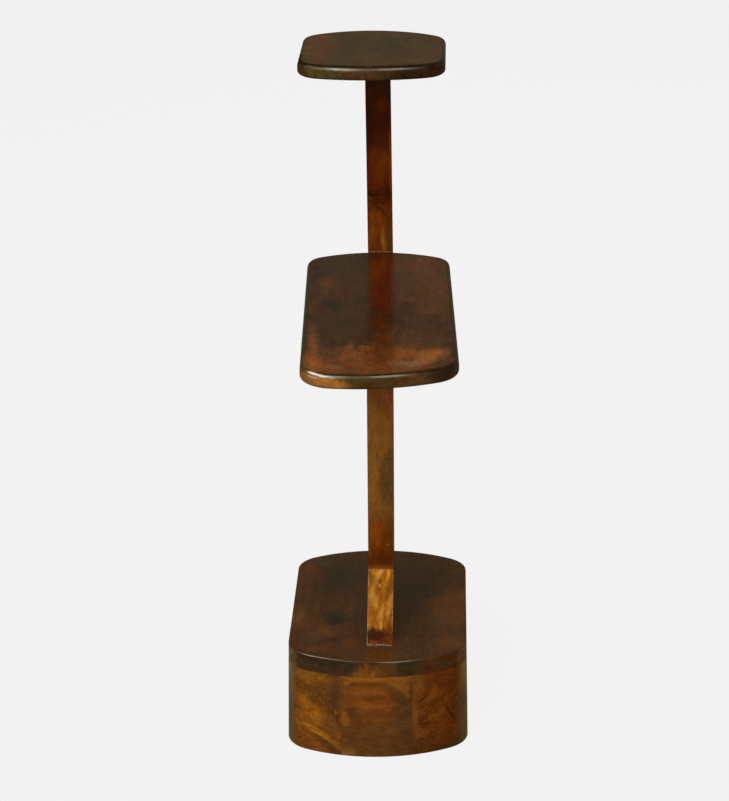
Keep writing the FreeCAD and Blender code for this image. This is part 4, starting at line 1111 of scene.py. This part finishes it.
def build_brace():
    x0, x1, y0, y1 = -10.0, 14.8, -97.5, -40.8
    z0, zt = 100.6, 156.3
    bm = bmesh.new()
    # sloping face cut in rows, so that its figure can carry a little relief
    rows = 20
    slope = [(y0 + (y1 - 1.0 - y0) * k / rows, z0 + 1.5 + (zt - z0 - 1.5) * k / rows) for k in range(rows + 1)]
    prof = [(y0, z0)] + slope + [(y1, zt), (y1, z0)]
    sides = []
    for x in (x0, x1):
        sides.append([bm.verts.new((x, y, z)) for y, z in prof])
    n = len(prof)
    for i in range(n):
        j = (i + 1) % n
        bm.faces.new((sides[0][i], sides[0][j], sides[1][j], sides[1][i]))
    bm.faces.new(sides[0][::-1])
    bm.faces.new(sides[1])
    ob = finish_mesh(bm, "foot_brace_block", weighted=False)
    bevel_object(ob, 0.32, 3, 30.0)
    return ob


PIV = Vector((2.4, -17.8, 0.0))
TURN = Matrix.Translation(PIV) @ Matrix.Rotation(math.radians(1.46), 4, "Z") @ Matrix.Translation(-PIV)


def build_bearer():
    bm = box_bm(-10.0, 14.8, -40.8, 247.0, 348.4, 380.4, 1)
    bmesh.ops.transform(bm, matrix=TURN, verts=bm.verts)
    ob = finish_mesh(bm, "shelf_bearer_bar", weighted=False)
    bevel_object(ob, 0.8, 3)
    holes = []
    for y in (22.0, 84.0, 146.0, 208.0):
        q = TURN @ Vector((2.4, y, 348.3))
        holes.append((4.6, q, (0, 0, 1), 10.1))
    drill(ob, holes)
    return ob


LEAN = Matrix.Translation((2.4, 247.0, 348.4)) @ Matrix.Rotation(math.radians(-0.5), 4, "Y") @ Matrix.Translation((-2.4, -247.0, -348.4))


def build_post_up():
    M_ = TURN @ LEAN
    bm = box_bm(-10.0, 16.5, 247.0, 292.0, 330.0, 615.0, 1)
    bmesh.ops.transform(bm, matrix=M_, verts=bm.verts)
    # level ends
    geo = bm.verts[:] + bm.edges[:] + bm.faces[:]
    for z, nrm in ((348.4, (0, 0, -1)), (595.0, (0, 0, 1))):
        geo = bm.verts[:] + bm.edges[:] + bm.faces[:]
        bmesh.ops.bisect_plane(bm, geom=geo, plane_co=(0, 0, z), plane_no=nrm, clear_outer=True)
        rim = [e for e in bm.edges if e.is_boundary]
        bmesh.ops.holes_fill(bm, edges=rim)
    ob = finish_mesh(bm, "upper_post_bar", weighted=False)
    bevel_object(ob, 0.4, 3)
    ydir = (TURN.to_3x3() @ Vector((0, 1, 0))).normalized()
    holes, plugs = [], []
    for z in (348.4 + 16.0, 380.4 + 7.5):
        lean = math.tan(math.radians(0.5)) * (z - 348.4)
        q = TURN @ Vector((2.4 - lean, 247.0 + 45.0 - 9.0, z))
        q.z = z
        holes.append((5.0, q, tuple(ydir), 14.0))
        plugs.append(q)
    drill(ob, holes)
    return ob, plugs, ydir


def build_plugs(plugs, ydir):
    bm = bmesh.new()
    for q in plugs:
        prof = [(5.0, 0.0), (5.0, 8.55), (4.9, 8.82), (4.62, 8.96), (4.2, 9.0)]
        rings = []
        u = Vector((1, 0, 0)) - ydir * ydir.x
        u.normalize()
        w = ydir.cross(u)
        N = 40
        for r_, d in prof:
            rings.append([bm.verts.new(q + ydir * d + (u * math.cos(2 * math.pi * k / N) + w * math.sin(2 * math.pi * k / N)) * r_) for k in range(N)])
        for a, b in zip(rings, rings[1:]):
            bridge(bm, a, b)
        bm.faces.new(rings[0][::-1])
        bm.faces.new(rings[-1])
    return finish_mesh(bm, "post_plug_buttons")


def build_bead(name, pts, r0, seed, squash=(1.0, 1.0, 1.0), var=0.55, ends=0.4, step=0.7, rough=1.0):
    """An uneven bead of dried glue along a line of points."""
    rnd = random.Random(seed)
    line = []
    for p, q in zip(pts, pts[1:]):
        p, q = Vector(p), Vector(q)
        n = max(int((q - p).length / step), 1)
        for k in range(n):
            line.append(p.lerp(q, k / n))
    line.append(Vector(pts[-1]))
    n = len(line)
    ph = [(rnd.uniform(0.25, 1.6), rnd.uniform(0, 6.28), rnd.uniform(0.3, 1.0)) for _ in range(7)]
    tot = sum(h[2] for h in ph)
    bm = bmesh.new()
    rings = []
    N = 10
    for i, p in enumerate(line):
        t = line[min(i + 1, n - 1)] - line[max(i - 1, 0)]
        t.normalize()
        up = Vector((0, 0, 1))
        if abs(t.dot(up)) > 0.9:
            up = Vector((0, 1, 0))
        s1 = t.cross(up).normalized()
        s2 = s1.cross(t)
        wv = sum(a * math.sin(i * step * w * 2.2 + o) for w, o, a in ph) / tot
        r = r0 * max(1.0 + var * wv + rough * rnd.uniform(-0.12, 0.12), 0.15)
        e = min(i, n - 1 - i) / max(n * 0.08, 1.0)
        r *= min(1.0, ends + (1 - ends) * e)
        ring = []
        for k in range(N):
            g = 2 * math.pi * k / N
            rr = r * (1.0 + rough * rnd.uniform(-0.10, 0.10))
            d = (s1 * math.cos(g) + s2 * math.sin(g)) * rr
            d = Vector((d.x * squash[0], d.y * squash[1], d.z * squash[2]))
            ring.append(bm.verts.new(p + d))
        rings.append(ring)
    for a, b in zip(rings, rings[1:]):
        bridge(bm, a, b)
    bm.faces.new(rings[0][::-1])
    bm.faces.new(rings[-1])
    return finish_mesh(bm, name, sharp=80.0, weighted=False)


# ---------------------------------------------------------------- assemble
def dress(ob, mat):
    ob.data.materials.clear()
    ob.data.materials.append(mat)
    return ob


lid = dress(place(build_lid(), "base_lid", slot="dark_lacquered_top"), mat_lid())

mid = build_shelf("middle_shelf_board", 74.4, 175.4, (172.4, 119.9), (33.9, 25.2), (-18.5, -2.0), 15.0, 395.4, -0.3, 47.4, 1.68)
dress(place(mid, "middle_shelf", slot="dark_lacquered_top"), mat_middle_shelf())

top = build_shelf("top_shelf_board", 75.5, 64.9, (180.1, 103.6), (30.4, 28.4), (-4.1, -2.5), 15.0, 610.0, -11.1, 257.4, -0.1)
dress(place(top, "top_shelf", slot="dark_lacquered_top"), mat_top_shelf())

GOLD = [(78, 48, 17), (104, 63, 20), (126, 77, 22), (142, 88, 26)]
BROWN = [(62, 40, 17), (80, 50, 20), (94, 59, 23), (112, 70, 26)]
RED = [(58, 30, 9), (80, 42, 11), (96, 51, 13), (114, 65, 18)]

stave_mats = {
    "front_stave_left": mat_stave("stave_front_left_wood", 11.0, [(86, 49, 15), (104, 60, 17), (117, 68, 19), (131, 78, 22)], [
        (-63, 78, 16, 7, 0, 0.5, 0.8, 0.65, (126, 80, 28)),
        (-73, 65, 11, 2.6, -8, 0.6, 0.8, 0.70, (88, 55, 20)),
        (-51, 60, 13, 17, 0, 0.7, 1.0, 0.75, (76, 47, 19)),
        (-39, 66, 4.5, 20, 2, 0.9, 1.0, 0.80, (64, 47, 25)),
        (-44, 54, 5, 14, 10, 0.9, 1.0, 0.55, (72, 48, 22)),
        (-46, 42, 7, 15, 0, 0.7, 0.7, 0.65, (80, 50, 21)),
        (-71, 51, 7, 5, -30, 0.7, 0.8, 0.80, (140, 84, 20)),
        (-79, 43, 6, 1.6, -6, 0.7, 0.5, 0.70, (76, 46, 15)),
        (-62, 38, 12, 10, 10, 0.5, 0.9, 0.85, (142, 86, 20)),
        (-64, 43, 5, 2.0, 30, 0.6, 0.6, 0.60, (96, 56, 14)),
        (-45, 30, 6, 12, 8, 0.6, 0.9, 0.55, (104, 64, 24)),
        (-60, 9, 22, 7, 0, 0.6, 0.9, 0.65, (108, 64, 24)),
        (-55, 9, 8, 4, 0, 0.6, 0.9, 0.50, (124, 66, 20)),
        (-47, 7, 13, 4.5, -34, 0.6, 0.9, 0.80, (70, 44, 20)),
        (-40, 3, 6, 3, 0, 0.7, 0.8, 0.60, (64, 42, 22)),
        # painted reflection: the next olive strip at the far left end is the lacquer's grazing reflection
        (-84, 40, 3, 44, 0, 0.6, 0.4, 0.60, (78, 58, 30)),
        (-71, 26.5, 9, 2.2, -4, 0.7, 1.0, 0.80, (150, 96, 27)),
        (-60, 22.5, 9, 2.8, -22, 0.7, 1.0, 0.90, (164, 108, 32)),
        (-49, 16.5, 11, 2.2, -34, 0.8, 1.1, 0.75, (142, 92, 30)),
        (-54, 14, 10, 1.6, -24, 0.6, 0.7, 0.70, (84, 52, 20)),
        (-39.3, 44, 0.9, 3.4, 12, 0.7, 0.5, 0.60, (128, 96, 54)),
        (-38.2, 38, 0.7, 5.0, 4, 0.7, 0.4, 0.80, (38, 27, 14)),
        (-79, 83.0, 1.6, 0.6, 40, 0.8, 0.3, 0.60, (140, 108, 62)),
    ], grain="x", extra=extra_left, swirl=0.5),
    "front_stave_centre": mat_stave("stave_front_centre_wood", 13.0, [(70, 43, 17), (84, 52, 20), (92, 56, 22), (106, 65, 23)], [
        (0, 20, 36, 22, 0, 0.6, 0.8, 0.55, (89, 56, 25)),
        (2, 83, 34, 4.2, 0, 0.8, 1.0, 0.85, (142, 83, 24)),
        (22, 74, 9, 9, -35, 0.6, 0.9, 0.70, (122, 76, 26)),
        (-6, 56, 27, 20, -4, 0.45, 0.9, 0.90, (112, 61, 19)),
        (-10, 69, 18, 5, 0, 0.8, 0.9, 0.75, (128, 70, 22)),
        (-8, 63, 22, 2.2, 2, 0.7, 0.9, 0.55, (84, 50, 18)),
        (-5, 54, 24, 2.6, 2, 0.7, 0.9, 0.65, (126, 72, 26)),
        (0, 44, 26, 3.4, 0, 0.7, 0.9, 0.70, (86, 50, 19)),
        (0, 36, 28, 2.2, 0, 0.7, 0.9, 0.55, (78, 50, 22)),
        (-25, 46, 9, 5, -38, 0.9, 1.0, 0.70, (70, 44, 18)),
        (-31.5, 40, 4.4, 9, 20, 0.7, 0.8, 0.85, (122, 72, 20)),
        (-30, 60, 2.6, 24, 0, 0.6, 0.6, 0.50, (112, 68, 24)),
        (22, 60, 6.5, 18, 26, 0.8, 0.8, 0.70, (72, 48, 22)),
        (27, 36, 8, 22, 0, 0.6, 0.8, 0.60, (78, 54, 28)),
        (-30, 4, 8, 4, 0, 0.6, 0.6, 0.75, (118, 80, 32)),
        (26, 14, 9, 12, 0, 0.6, 0.8, 0.60, (72, 48, 24)),
        (0, 20, 24, 1.6, 0, 0.7, 0.9, 0.50, (74, 46, 20)),
        (4, 11, 26, 1.4, 0, 0.7, 0.9, 0.45, (72, 46, 20)),
    ], grain="x", extra=extra_centre, swirl=0.55),
    "front_stave_right": mat_stave("stave_front_right_wood", 17.0, [(62, 31, 8), (80, 41, 10), (93, 49, 11), (108, 59, 14)], [
        (40, 76, 6, 9, 0, 0.8, 0.7, 0.60, (102, 64, 26)),
        (36.5, 42, 2.4, 6, 0, 0.9, 0.9, 0.65, (112, 68, 22)),
        (36, 54, 4.0, 34, 0, 0.95, 0.7, 0.65, (92, 58, 25)),
        (38, 30, 2.2, 12, 0, 0.9, 0.9, 0.60, (108, 68, 24)),
        (38, 18, 5.0, 16, 0, 0.9, 0.9, 0.45, (80, 50, 20)),
        (66, 73, 18, 12, 0, 0.7, 0.9, 0.75, (80, 38, 11)),
        (54, 64, 4, 6, 0, 0.9, 1.0, 0.50, (116, 64, 17)),
        (57, 37, 5, 6, 0, 0.9, 1.0, 0.50, (118, 64, 15)),
        (63, 43, 6, 5, 0, 0.9, 1.0, 0.45, (110, 60, 14)),
        (45, 22, 5, 4, 0, 0.9, 1.0, 0.45, (112, 66, 20)),
        (45, 58, 8, 1.2, 40, 0.7, 0.4, 0.90, (50, 30, 12)),
        (49, 31, 9, 1.5, -4, 0.7, 0.5, 0.70, (60, 32, 12)),
        (72, 36, 1.4, 14, 26, 0.7, 0.5, 0.80, (50, 26, 9)),
        (66, 47, 1.2, 10, 26, 0.7, 0.5, 0.50, (60, 32, 10)),
        (80, 50, 2.6, 36, 0, 0.9, 0.6, 0.40, (98, 60, 22)),
        (78, 20, 3, 16, 0, 0.9, 0.6, 0.40, (98, 58, 22)),
        (44, 12, 8, 4, 0, 0.6, 0.8, 0.60, (72, 44, 18)),
        (66, 4, 26, 6, 4, 0.7, 0.8, 0.85, (62, 36, 13)),
        (60, 18, 20, 8, 0, 0.9, 0.9, 0.45, (72, 39, 12)),
        # painted reflection: the next olive strip at the far right end is the lacquer's grazing reflection
        (85, 40, 2.4, 44, 0, 0.6, 0.4, 0.50, (80, 58, 30)),
    ], grain="x", extra=extra_right, light=L_STAVE_R, swirl=0.5),
    "rear_stave_left": mat_stave("stave_rear_left_wood", 19.0, GOLD, [], grain="x"),
    "rear_stave_centre": mat_stave("stave_rear_centre_wood", 21.0, BROWN, [], grain="x"),
    "rear_stave_right": mat_stave("stave_rear_right_wood", 23.0, RED, [], grain="x"),
    "side_board_left": mat_stave("side_board_left_wood", 25.0, GOLD, [], grain="y", ring_mm=12.0, pith=(-40.0, 10.0)),
    "side_board_right": mat_stave("side_board_right_wood", 27.0, RED, [], grain="y", ring_mm=12.0, pith=(40.0, 20.0)),
}
for wall in WALLS:
    dress(place(build_wall(wall), wall, slot="lacquered_stave"), stave_mats[wall])

post_low_mat = mat_post("lower_post_wood", 41.0, [(92, 56, 21), (104, 64, 24), (110, 68, 25), (118, 74, 27)], [
    (2, 338, 18, 20, 0, 0.7, 0.8, 0.80, (94, 53, 23)),
    (6, 332, 8, 8, 0, 0.8, 0.8, 0.40, (104, 56, 26)),
    (4, 300, 14, 18, 0, 0.8, 0.8, 0.50, (114, 74, 27)),
    (-8, 305, 3, 12, 0, 0.8, 0.8, 0.50, (92, 62, 28)),
    (17, 252, 16, 33, 0, 0.16, 0.25, 1.0, (86, 59, 26)),
        (14, 250, 8, 20, 0, 0.6, 0.4, 0.60, (80, 56, 27)),
    (-5, 262, 6, 60, 0, 0.8, 0.6, 0.60, (122, 77, 28)),
    (5, 220, 10, 8, -30, 0.8, 0.6, 0.45, (114, 72, 26)),
    (2, 180, 26, 27, 0, 0.45, 0.7, 0.88, (94, 41, 3)),
    (12, 208, 4, 8, 0, 0.7, 0.6, 0.55, (88, 52, 20)),
    (-4, 194, 8, 12, -14, 0.7, 0.9, 0.75, (118, 60, 7)),
    (4, 199, 5, 8, -30, 0.8, 0.9, 0.60, (112, 60, 9)),
    (11, 186, 5, 16, 0, 0.8, 0.8, 0.60, (80, 42, 9)),
    (3, 166, 15, 8, 0, 0.7, 0.9, 0.90, (72, 33, 3)),
    (10, 166, 4, 6, 0, 0.8, 0.6, 0.6, (64, 32, 6)),
    (-8, 176, 2, 8, 0, 0.8, 0.6, 0.5, (110, 54, 6)),
    (9.5, 181.5, 1.2, 0.7, 10, 0.8, 0.4, 0.6, (132, 88, 44)),
    (2, 158.5, 15, 2.4, 0, 0.6, 0.7, 0.80, (108, 58, 14)),
], L_POST, shade_lift_ramp=(280.0, 348.0, [(0.0, 1.0), (0.45, 1.12), (1.0, 1.62)]), streak=0.55, swirl=0.45)
dress(place(build_post_low(), "lower_post", slot="lacquered_post"), post_low_mat)

dress(place(build_brace(), "foot_brace", slot="golden_brace"), mat_brace())

post_up_mat = mat_post("upper_post_wood", 45.0, [(56, 21, 1), (66, 26, 1), (74, 30, 1), (86, 40, 4)], [
    (2, 578, 22, 22, 0, 0.7, 0.8, 0.90, (47, 28, 11)),
    (-5, 571, 7, 12, 0, 0.8, 0.8, 0.60, (45, 30, 12)),
    (9, 585, 8, 9, 0, 0.8, 0.8, 0.60, (56, 34, 10)),
    (2, 540, 24, 28, 0, 0.7, 0.8, 0.88, (46, 18, 2)),
    (6, 553, 6, 7, 0, 0.8, 0.9, 0.75, (74, 34, 6)),
    (-6, 540, 4, 14, 0, 0.7, 0.7, 0.65, (42, 20, 5)),
    (-4, 516, 5, 12, 0, 0.7, 0.7, 0.55, (48, 20, 3)),
    (6, 512, 8, 16, 0, 0.8, 0.8, 0.50, (72, 30, 1)),
    (-1, 484, 13, 22, 0, 0.7, 0.9, 0.80, (89, 38, 1)),
    (7, 490, 5, 14, -12, 0.8, 1.0, 0.55, (100, 46, 3)),
    (-6, 478, 3, 12, 10, 0.8, 1.0, 0.55, (74, 30, 3)),
    (-4, 500, 6, 6, 0, 0.8, 0.8, 0.50, (96, 44, 2)),
    (-2, 468, 8, 5, 20, 0.8, 0.8, 0.45, (84, 34, 2)),
    (14.8, 490, 1.4, 40, 0, 0.7, 0.5, 0.65, (106, 56, 9)),
    (15.0, 425, 1.2, 30, 0, 0.7, 0.5, 0.50, (104, 62, 22)),
    (2, 456, 16, 9, 0, 0.7, 0.6, 0.60, (66, 28, 4)),
    (12, 458, 4, 8, -20, 0.8, 0.7, 0.60, (48, 22, 4)),
    (-5, 458.2, 6, 1.8, -10, 0.7, 0.6, 0.85, (36, 20, 4)),
    (3, 457.6, 7, 1.2, 0, 0.8, 0.6, 0.60, (44, 21, 4)),
    (9, 464, 8, 3, 30, 0.8, 0.6, 0.50, (58, 26, 4)),
    (2, 417, 15, 24, 0, 0.6, 0.9, 0.85, (102, 50, 8)),
    (-4, 424, 3, 12, 8, 0.8, 1.0, 0.60, (124, 66, 12)),
    (2, 432, 2.4, 9, -6, 0.8, 1.0, 0.45, (118, 62, 12)),
    (-5, 441, 3.5, 9, 12, 0.8, 0.8, 0.60, (108, 54, 8)),
    (11, 440, 4, 14, 10, 0.8, 0.7, 0.6, (82, 40, 8)),
    (5, 440, 8, 1.8, -40, 0.7, 0.5, 0.80, (56, 28, 5)),
    (-3, 449.5, 7, 1.6, -34, 0.7, 0.5, 0.65, (56, 28, 5)),
    (-1, 424, 4, 4, 0, 0.8, 0.6, 0.5, (82, 40, 8)),
    (6.5, 409, 2.2, 10, 0, 0.8, 0.6, 0.80, (128, 82, 30)),
    (9, 402, 2, 5, 0, 0.8, 0.6, 0.60, (112, 84, 48)),
    (0, 404, 3, 8, 0, 0.8, 0.6, 0.50, (88, 48, 15)),
    (12.5, 406, 3, 13, 0, 0.8, 0.6, 0.60, (78, 46, 18)),
    (-6, 412, 4, 10, 0, 0.8, 0.6, 0.65, (112, 58, 10)),
    (-6.8, 454.2, 2.8, 0.42, -32, 0.8, 0.2, 0.60, (120, 74, 34)),
    (5.4, 445.4, 4.6, 0.40, -22, 0.8, 0.2, 0.55, (114, 70, 34)),
], L_POST_UP, shade_lift_ramp=(520.0, 595.0, [(0.0, 1.0), (0.4, 1.15), (1.0, 1.6)]), streak=0.45, swirl=0.50, shift=7.7, y0=246.9)
post_up, plugs, ydir = build_post_up()
dress(place(post_up, "upper_post", slot="lacquered_post"), post_up_mat)
plug_mat = mat_bare("plug_wood", (0.20, 0.10, 0.035), (0.09, 0.04, 0.014), "x", 62.0)
dress(place(build_plugs(plugs, ydir), "upper_post_plugs", slot="beech_dowel"), plug_mat)

bearer_mat = mat_post("bearer_wood", 49.0, [(60, 34, 12), (82, 48, 17), (96, 58, 20), (110, 68, 24)], [], L_POST, axis="y")
dress(place(build_bearer(), "shelf_bearer", slot="lacquered_post"), bearer_mat)

# glue lines that show at the foot of the brace, and a pale amber bead along the foot of the upper post
glue = mat_glue("dried_glue", (0.05, 0.026, 0.012), (0.15, 0.10, 0.055), (0.36, 0.30, 0.21))
amber = mat_glue("amber_glue", (0.07, 0.025, 0.004), (0.16, 0.075, 0.014), (0.34, 0.20, 0.075))
foot = build_bead("brace_glue_line", [(-10.3, -97.8, 100.66), (-7.0, -97.8, 100.8), (-3.0, -97.9, 100.66), (15.2, -97.9, 100.66)], 0.50, 21, squash=(1.0, 1.3, 0.9), var=1.0, step=1.1, rough=0.3)
dress(place(foot, slot="bare_wood"), glue)
lump = build_bead("brace_glue_lump", [(-2.2, -97.9, 100.8), (1.0, -98.1, 101.3), (4.0, -98.4, 101.5), (7.5, -98.2, 101.4), (10.6, -97.9, 100.8)], 1.10, 5, squash=(1.0, 1.3, 1.0), var=0.65, ends=0.15, step=1.1, rough=0.5)
dress(place(lump, slot="bare_wood"), glue)
side = build_bead("brace_side_glue_line", [(-10.1, -97.4, 100.7), (-10.15, -91.0, 100.65), (-10.1, -84.0, 100.62)], 0.24, 8, var=0.8)
dress(place(side, slot="bare_wood"), glue)
fold = build_bead("brace_top_glue_line", [(-9.6, -41.0, 156.35), (14.4, -41.0, 156.35)], 0.42, 17, squash=(1.0, 1.0, 1.0), var=0.5)
dress(place(fold, slot="bare_wood"), amber)
q0, q1 = TURN @ Vector((-10.2, 246.6, 395.5)), TURN @ Vector((15.8, 246.6, 395.5))
rear = build_bead("post_foot_amber_bead", [tuple(q0), tuple(q1)], 0.48, 12, squash=(1.0, 0.9, 1.1), var=0.6)
dress(place(rear, slot="bare_wood"), amber)

# the pieces that stay as they are in the frame
bare = mat_bare("bare_panel_wood", (0.34, 0.21, 0.11), (0.17, 0.09, 0.04), "y", 60.0)
dowel = mat_bare("dowel_wood", (0.46, 0.31, 0.17), (0.30, 0.18, 0.09), "z", 64.0)
steel = mat_steel()
for name, mat in (("bottom_panel", bare), ("glue_blocks", bare), ("lid_cleat", bare),
                  ("lid_dowels", dowel), ("foot_brace_dowels", dowel), ("top_shelf_dowels", dowel),
                  ("bottom_panel_screws", steel), ("lower_post_screws", steel), ("lower_post_washers", steel),
                  ("middle_shelf_screws", steel), ("upper_post_screws", steel)):
    ob = NODES[name]
    for s_ in ob.material_slots:
        s_.link = "OBJECT"
        s_.material = mat

# =====================================================================
# floor, studio
# =====================================================================
bm = bmesh.new()
bmesh.ops.create_grid(bm, x_segments=8, y_segments=8, size=20.0)
me = bpy.data.meshes.new("floor")
bm.to_mesh(me)
bm.free()
floor = bpy.data.objects.new("floor", me)
floor.location = (0, 0, -0.0003)
scene.collection.objects.link(floor)
fm = bpy.data.materials.new("floor_paper")
fm.use_nodes = True
fb = fm.node_tree.nodes["Principled BSDF"]
fb.inputs["Base Color"].default_value = (0.04, 0.04, 0.04, 1)
fb.inputs["Roughness"].default_value = 1.0
fb.inputs["Specular IOR Level"].default_value = 0.0
fb.inputs["Emission Color"].default_value = (1, 1, 1, 1)
fb.inputs["Emission Strength"].default_value = 0.868
floor.data.materials.append(fm)
floor.visible_glossy = False
floor.visible_diffuse = False
floor.visible_transmission = False


def area(name, pos, look, w, h, power, colour=(1, 1, 1), diffuse=True, glossy=True):
    d = bpy.data.lights.new(name, "AREA")
    d.shape = "RECTANGLE"
    d.size, d.size_y = w, h
    d.energy = power
    d.color = colour
    o = bpy.data.objects.new(name, d)
    o.location = pos
    o.rotation_euler = (Vector(look) - Vector(pos)).to_track_quat("-Z", "Y").to_euler()
    o.visible_camera = False
    o.visible_diffuse = diffuse
    o.visible_glossy = glossy
    scene.collection.objects.link(o)
    return o


def around(az, el, dist, look=(0, 0, 0.3)):
    """A point seen from the object at azimuth az (0 in front, positive to the
    right) and elevation el."""
    a, e = math.radians(az), math.radians(el)
    return (look[0] + dist * math.sin(a) * math.cos(e), look[1] - dist * math.cos(a) * math.cos(e), look[2] + dist * math.sin(e))


area("key_soft", around(-28, 30, 2.6), (0, 0, 0.3), 1.8, 1.5, 37.0, (1.0, 0.985, 0.96), glossy=False)
area("front_soft", around(-6, 8, 2.8), (0, 0, 0.3), 1.6, 1.0, 8.5, (1.0, 0.99, 0.97), glossy=False)
area("fill_right", around(48, 18, 2.8), (0, 0, 0.3), 2.0, 1.6, 16.0, (1, 0.99, 0.97), glossy=False)
area("over_soft", (0.0, 0.3, 3.2), (0, 0, 0.3), 2.6, 2.6, 14.0, glossy=False)
area("back_soft", around(165, 35, 3.0), (0, 0, 0.3), 2.2, 1.6, 22.0, glossy=False)
area("shine_left", around(-69, 43, 2.6), (0, -0.05, 0.30), 3.15, 1.3, 197.0, (0.94, 1.0, 0.84), diffuse=False)
area("shine_left_low", around(-72, 3, 2.6), (0, 0.0, 0.30), 1.6, 0.9, 16.0, (1.0, 1.0, 0.84), diffuse=False)
area("shine_front", around(-23, 40, 2.6), (0, 0.05, 0.35), 0.80, 1.7, 22.0, (0.90, 1.0, 0.88), diffuse=False)
area("shine_middle", around(-1, 46, 2.6), (0, 0.05, 0.35), 1.2, 1.15, 2.4, (0.90, 1.0, 0.78), diffuse=False)
area("shine_right", around(22, 46, 2.6), (0, 0.05, 0.35), 0.80, 1.15, 16.5, (0.92, 1.0, 0.80), diffuse=False)

world = bpy.data.worlds.new("studio")
scene.world = world
world.use_nodes = True
nt = world.node_tree
nt.nodes.clear()
W = Mat.__new__(Mat)
W.nt = nt
wout = nt.nodes.new("ShaderNodeOutputWorld")
bg = nt.nodes.new("ShaderNodeBackground")
nt.links.new(bg.outputs[0], wout.inputs[0])
tc = nt.nodes.new("ShaderNodeTexCoord")
sp = nt.nodes.new("ShaderNodeSeparateXYZ")
nt.links.new(tc.outputs["Generated"], sp.inputs[0])
wx, wy, wz = sp.outputs
wall = W.mt("MULTIPLY", W.rng(wy, -0.15, 0.35), W.rng(wz, 0.62, 0.36))
low_back = W.mt("MULTIPLY", W.rng(wy, 0.25, 0.85), W.rng(wz, 0.02, -0.16))
col = W.mix(wall, (0.022, 0.022, 0.020), (0.100, 0.094, 0.068))
col = W.mix(low_back, col, (0.11, 0.095, 0.055))
W.put(bg.inputs["Color"], col)
bg.inputs["Strength"].default_value = 1.0
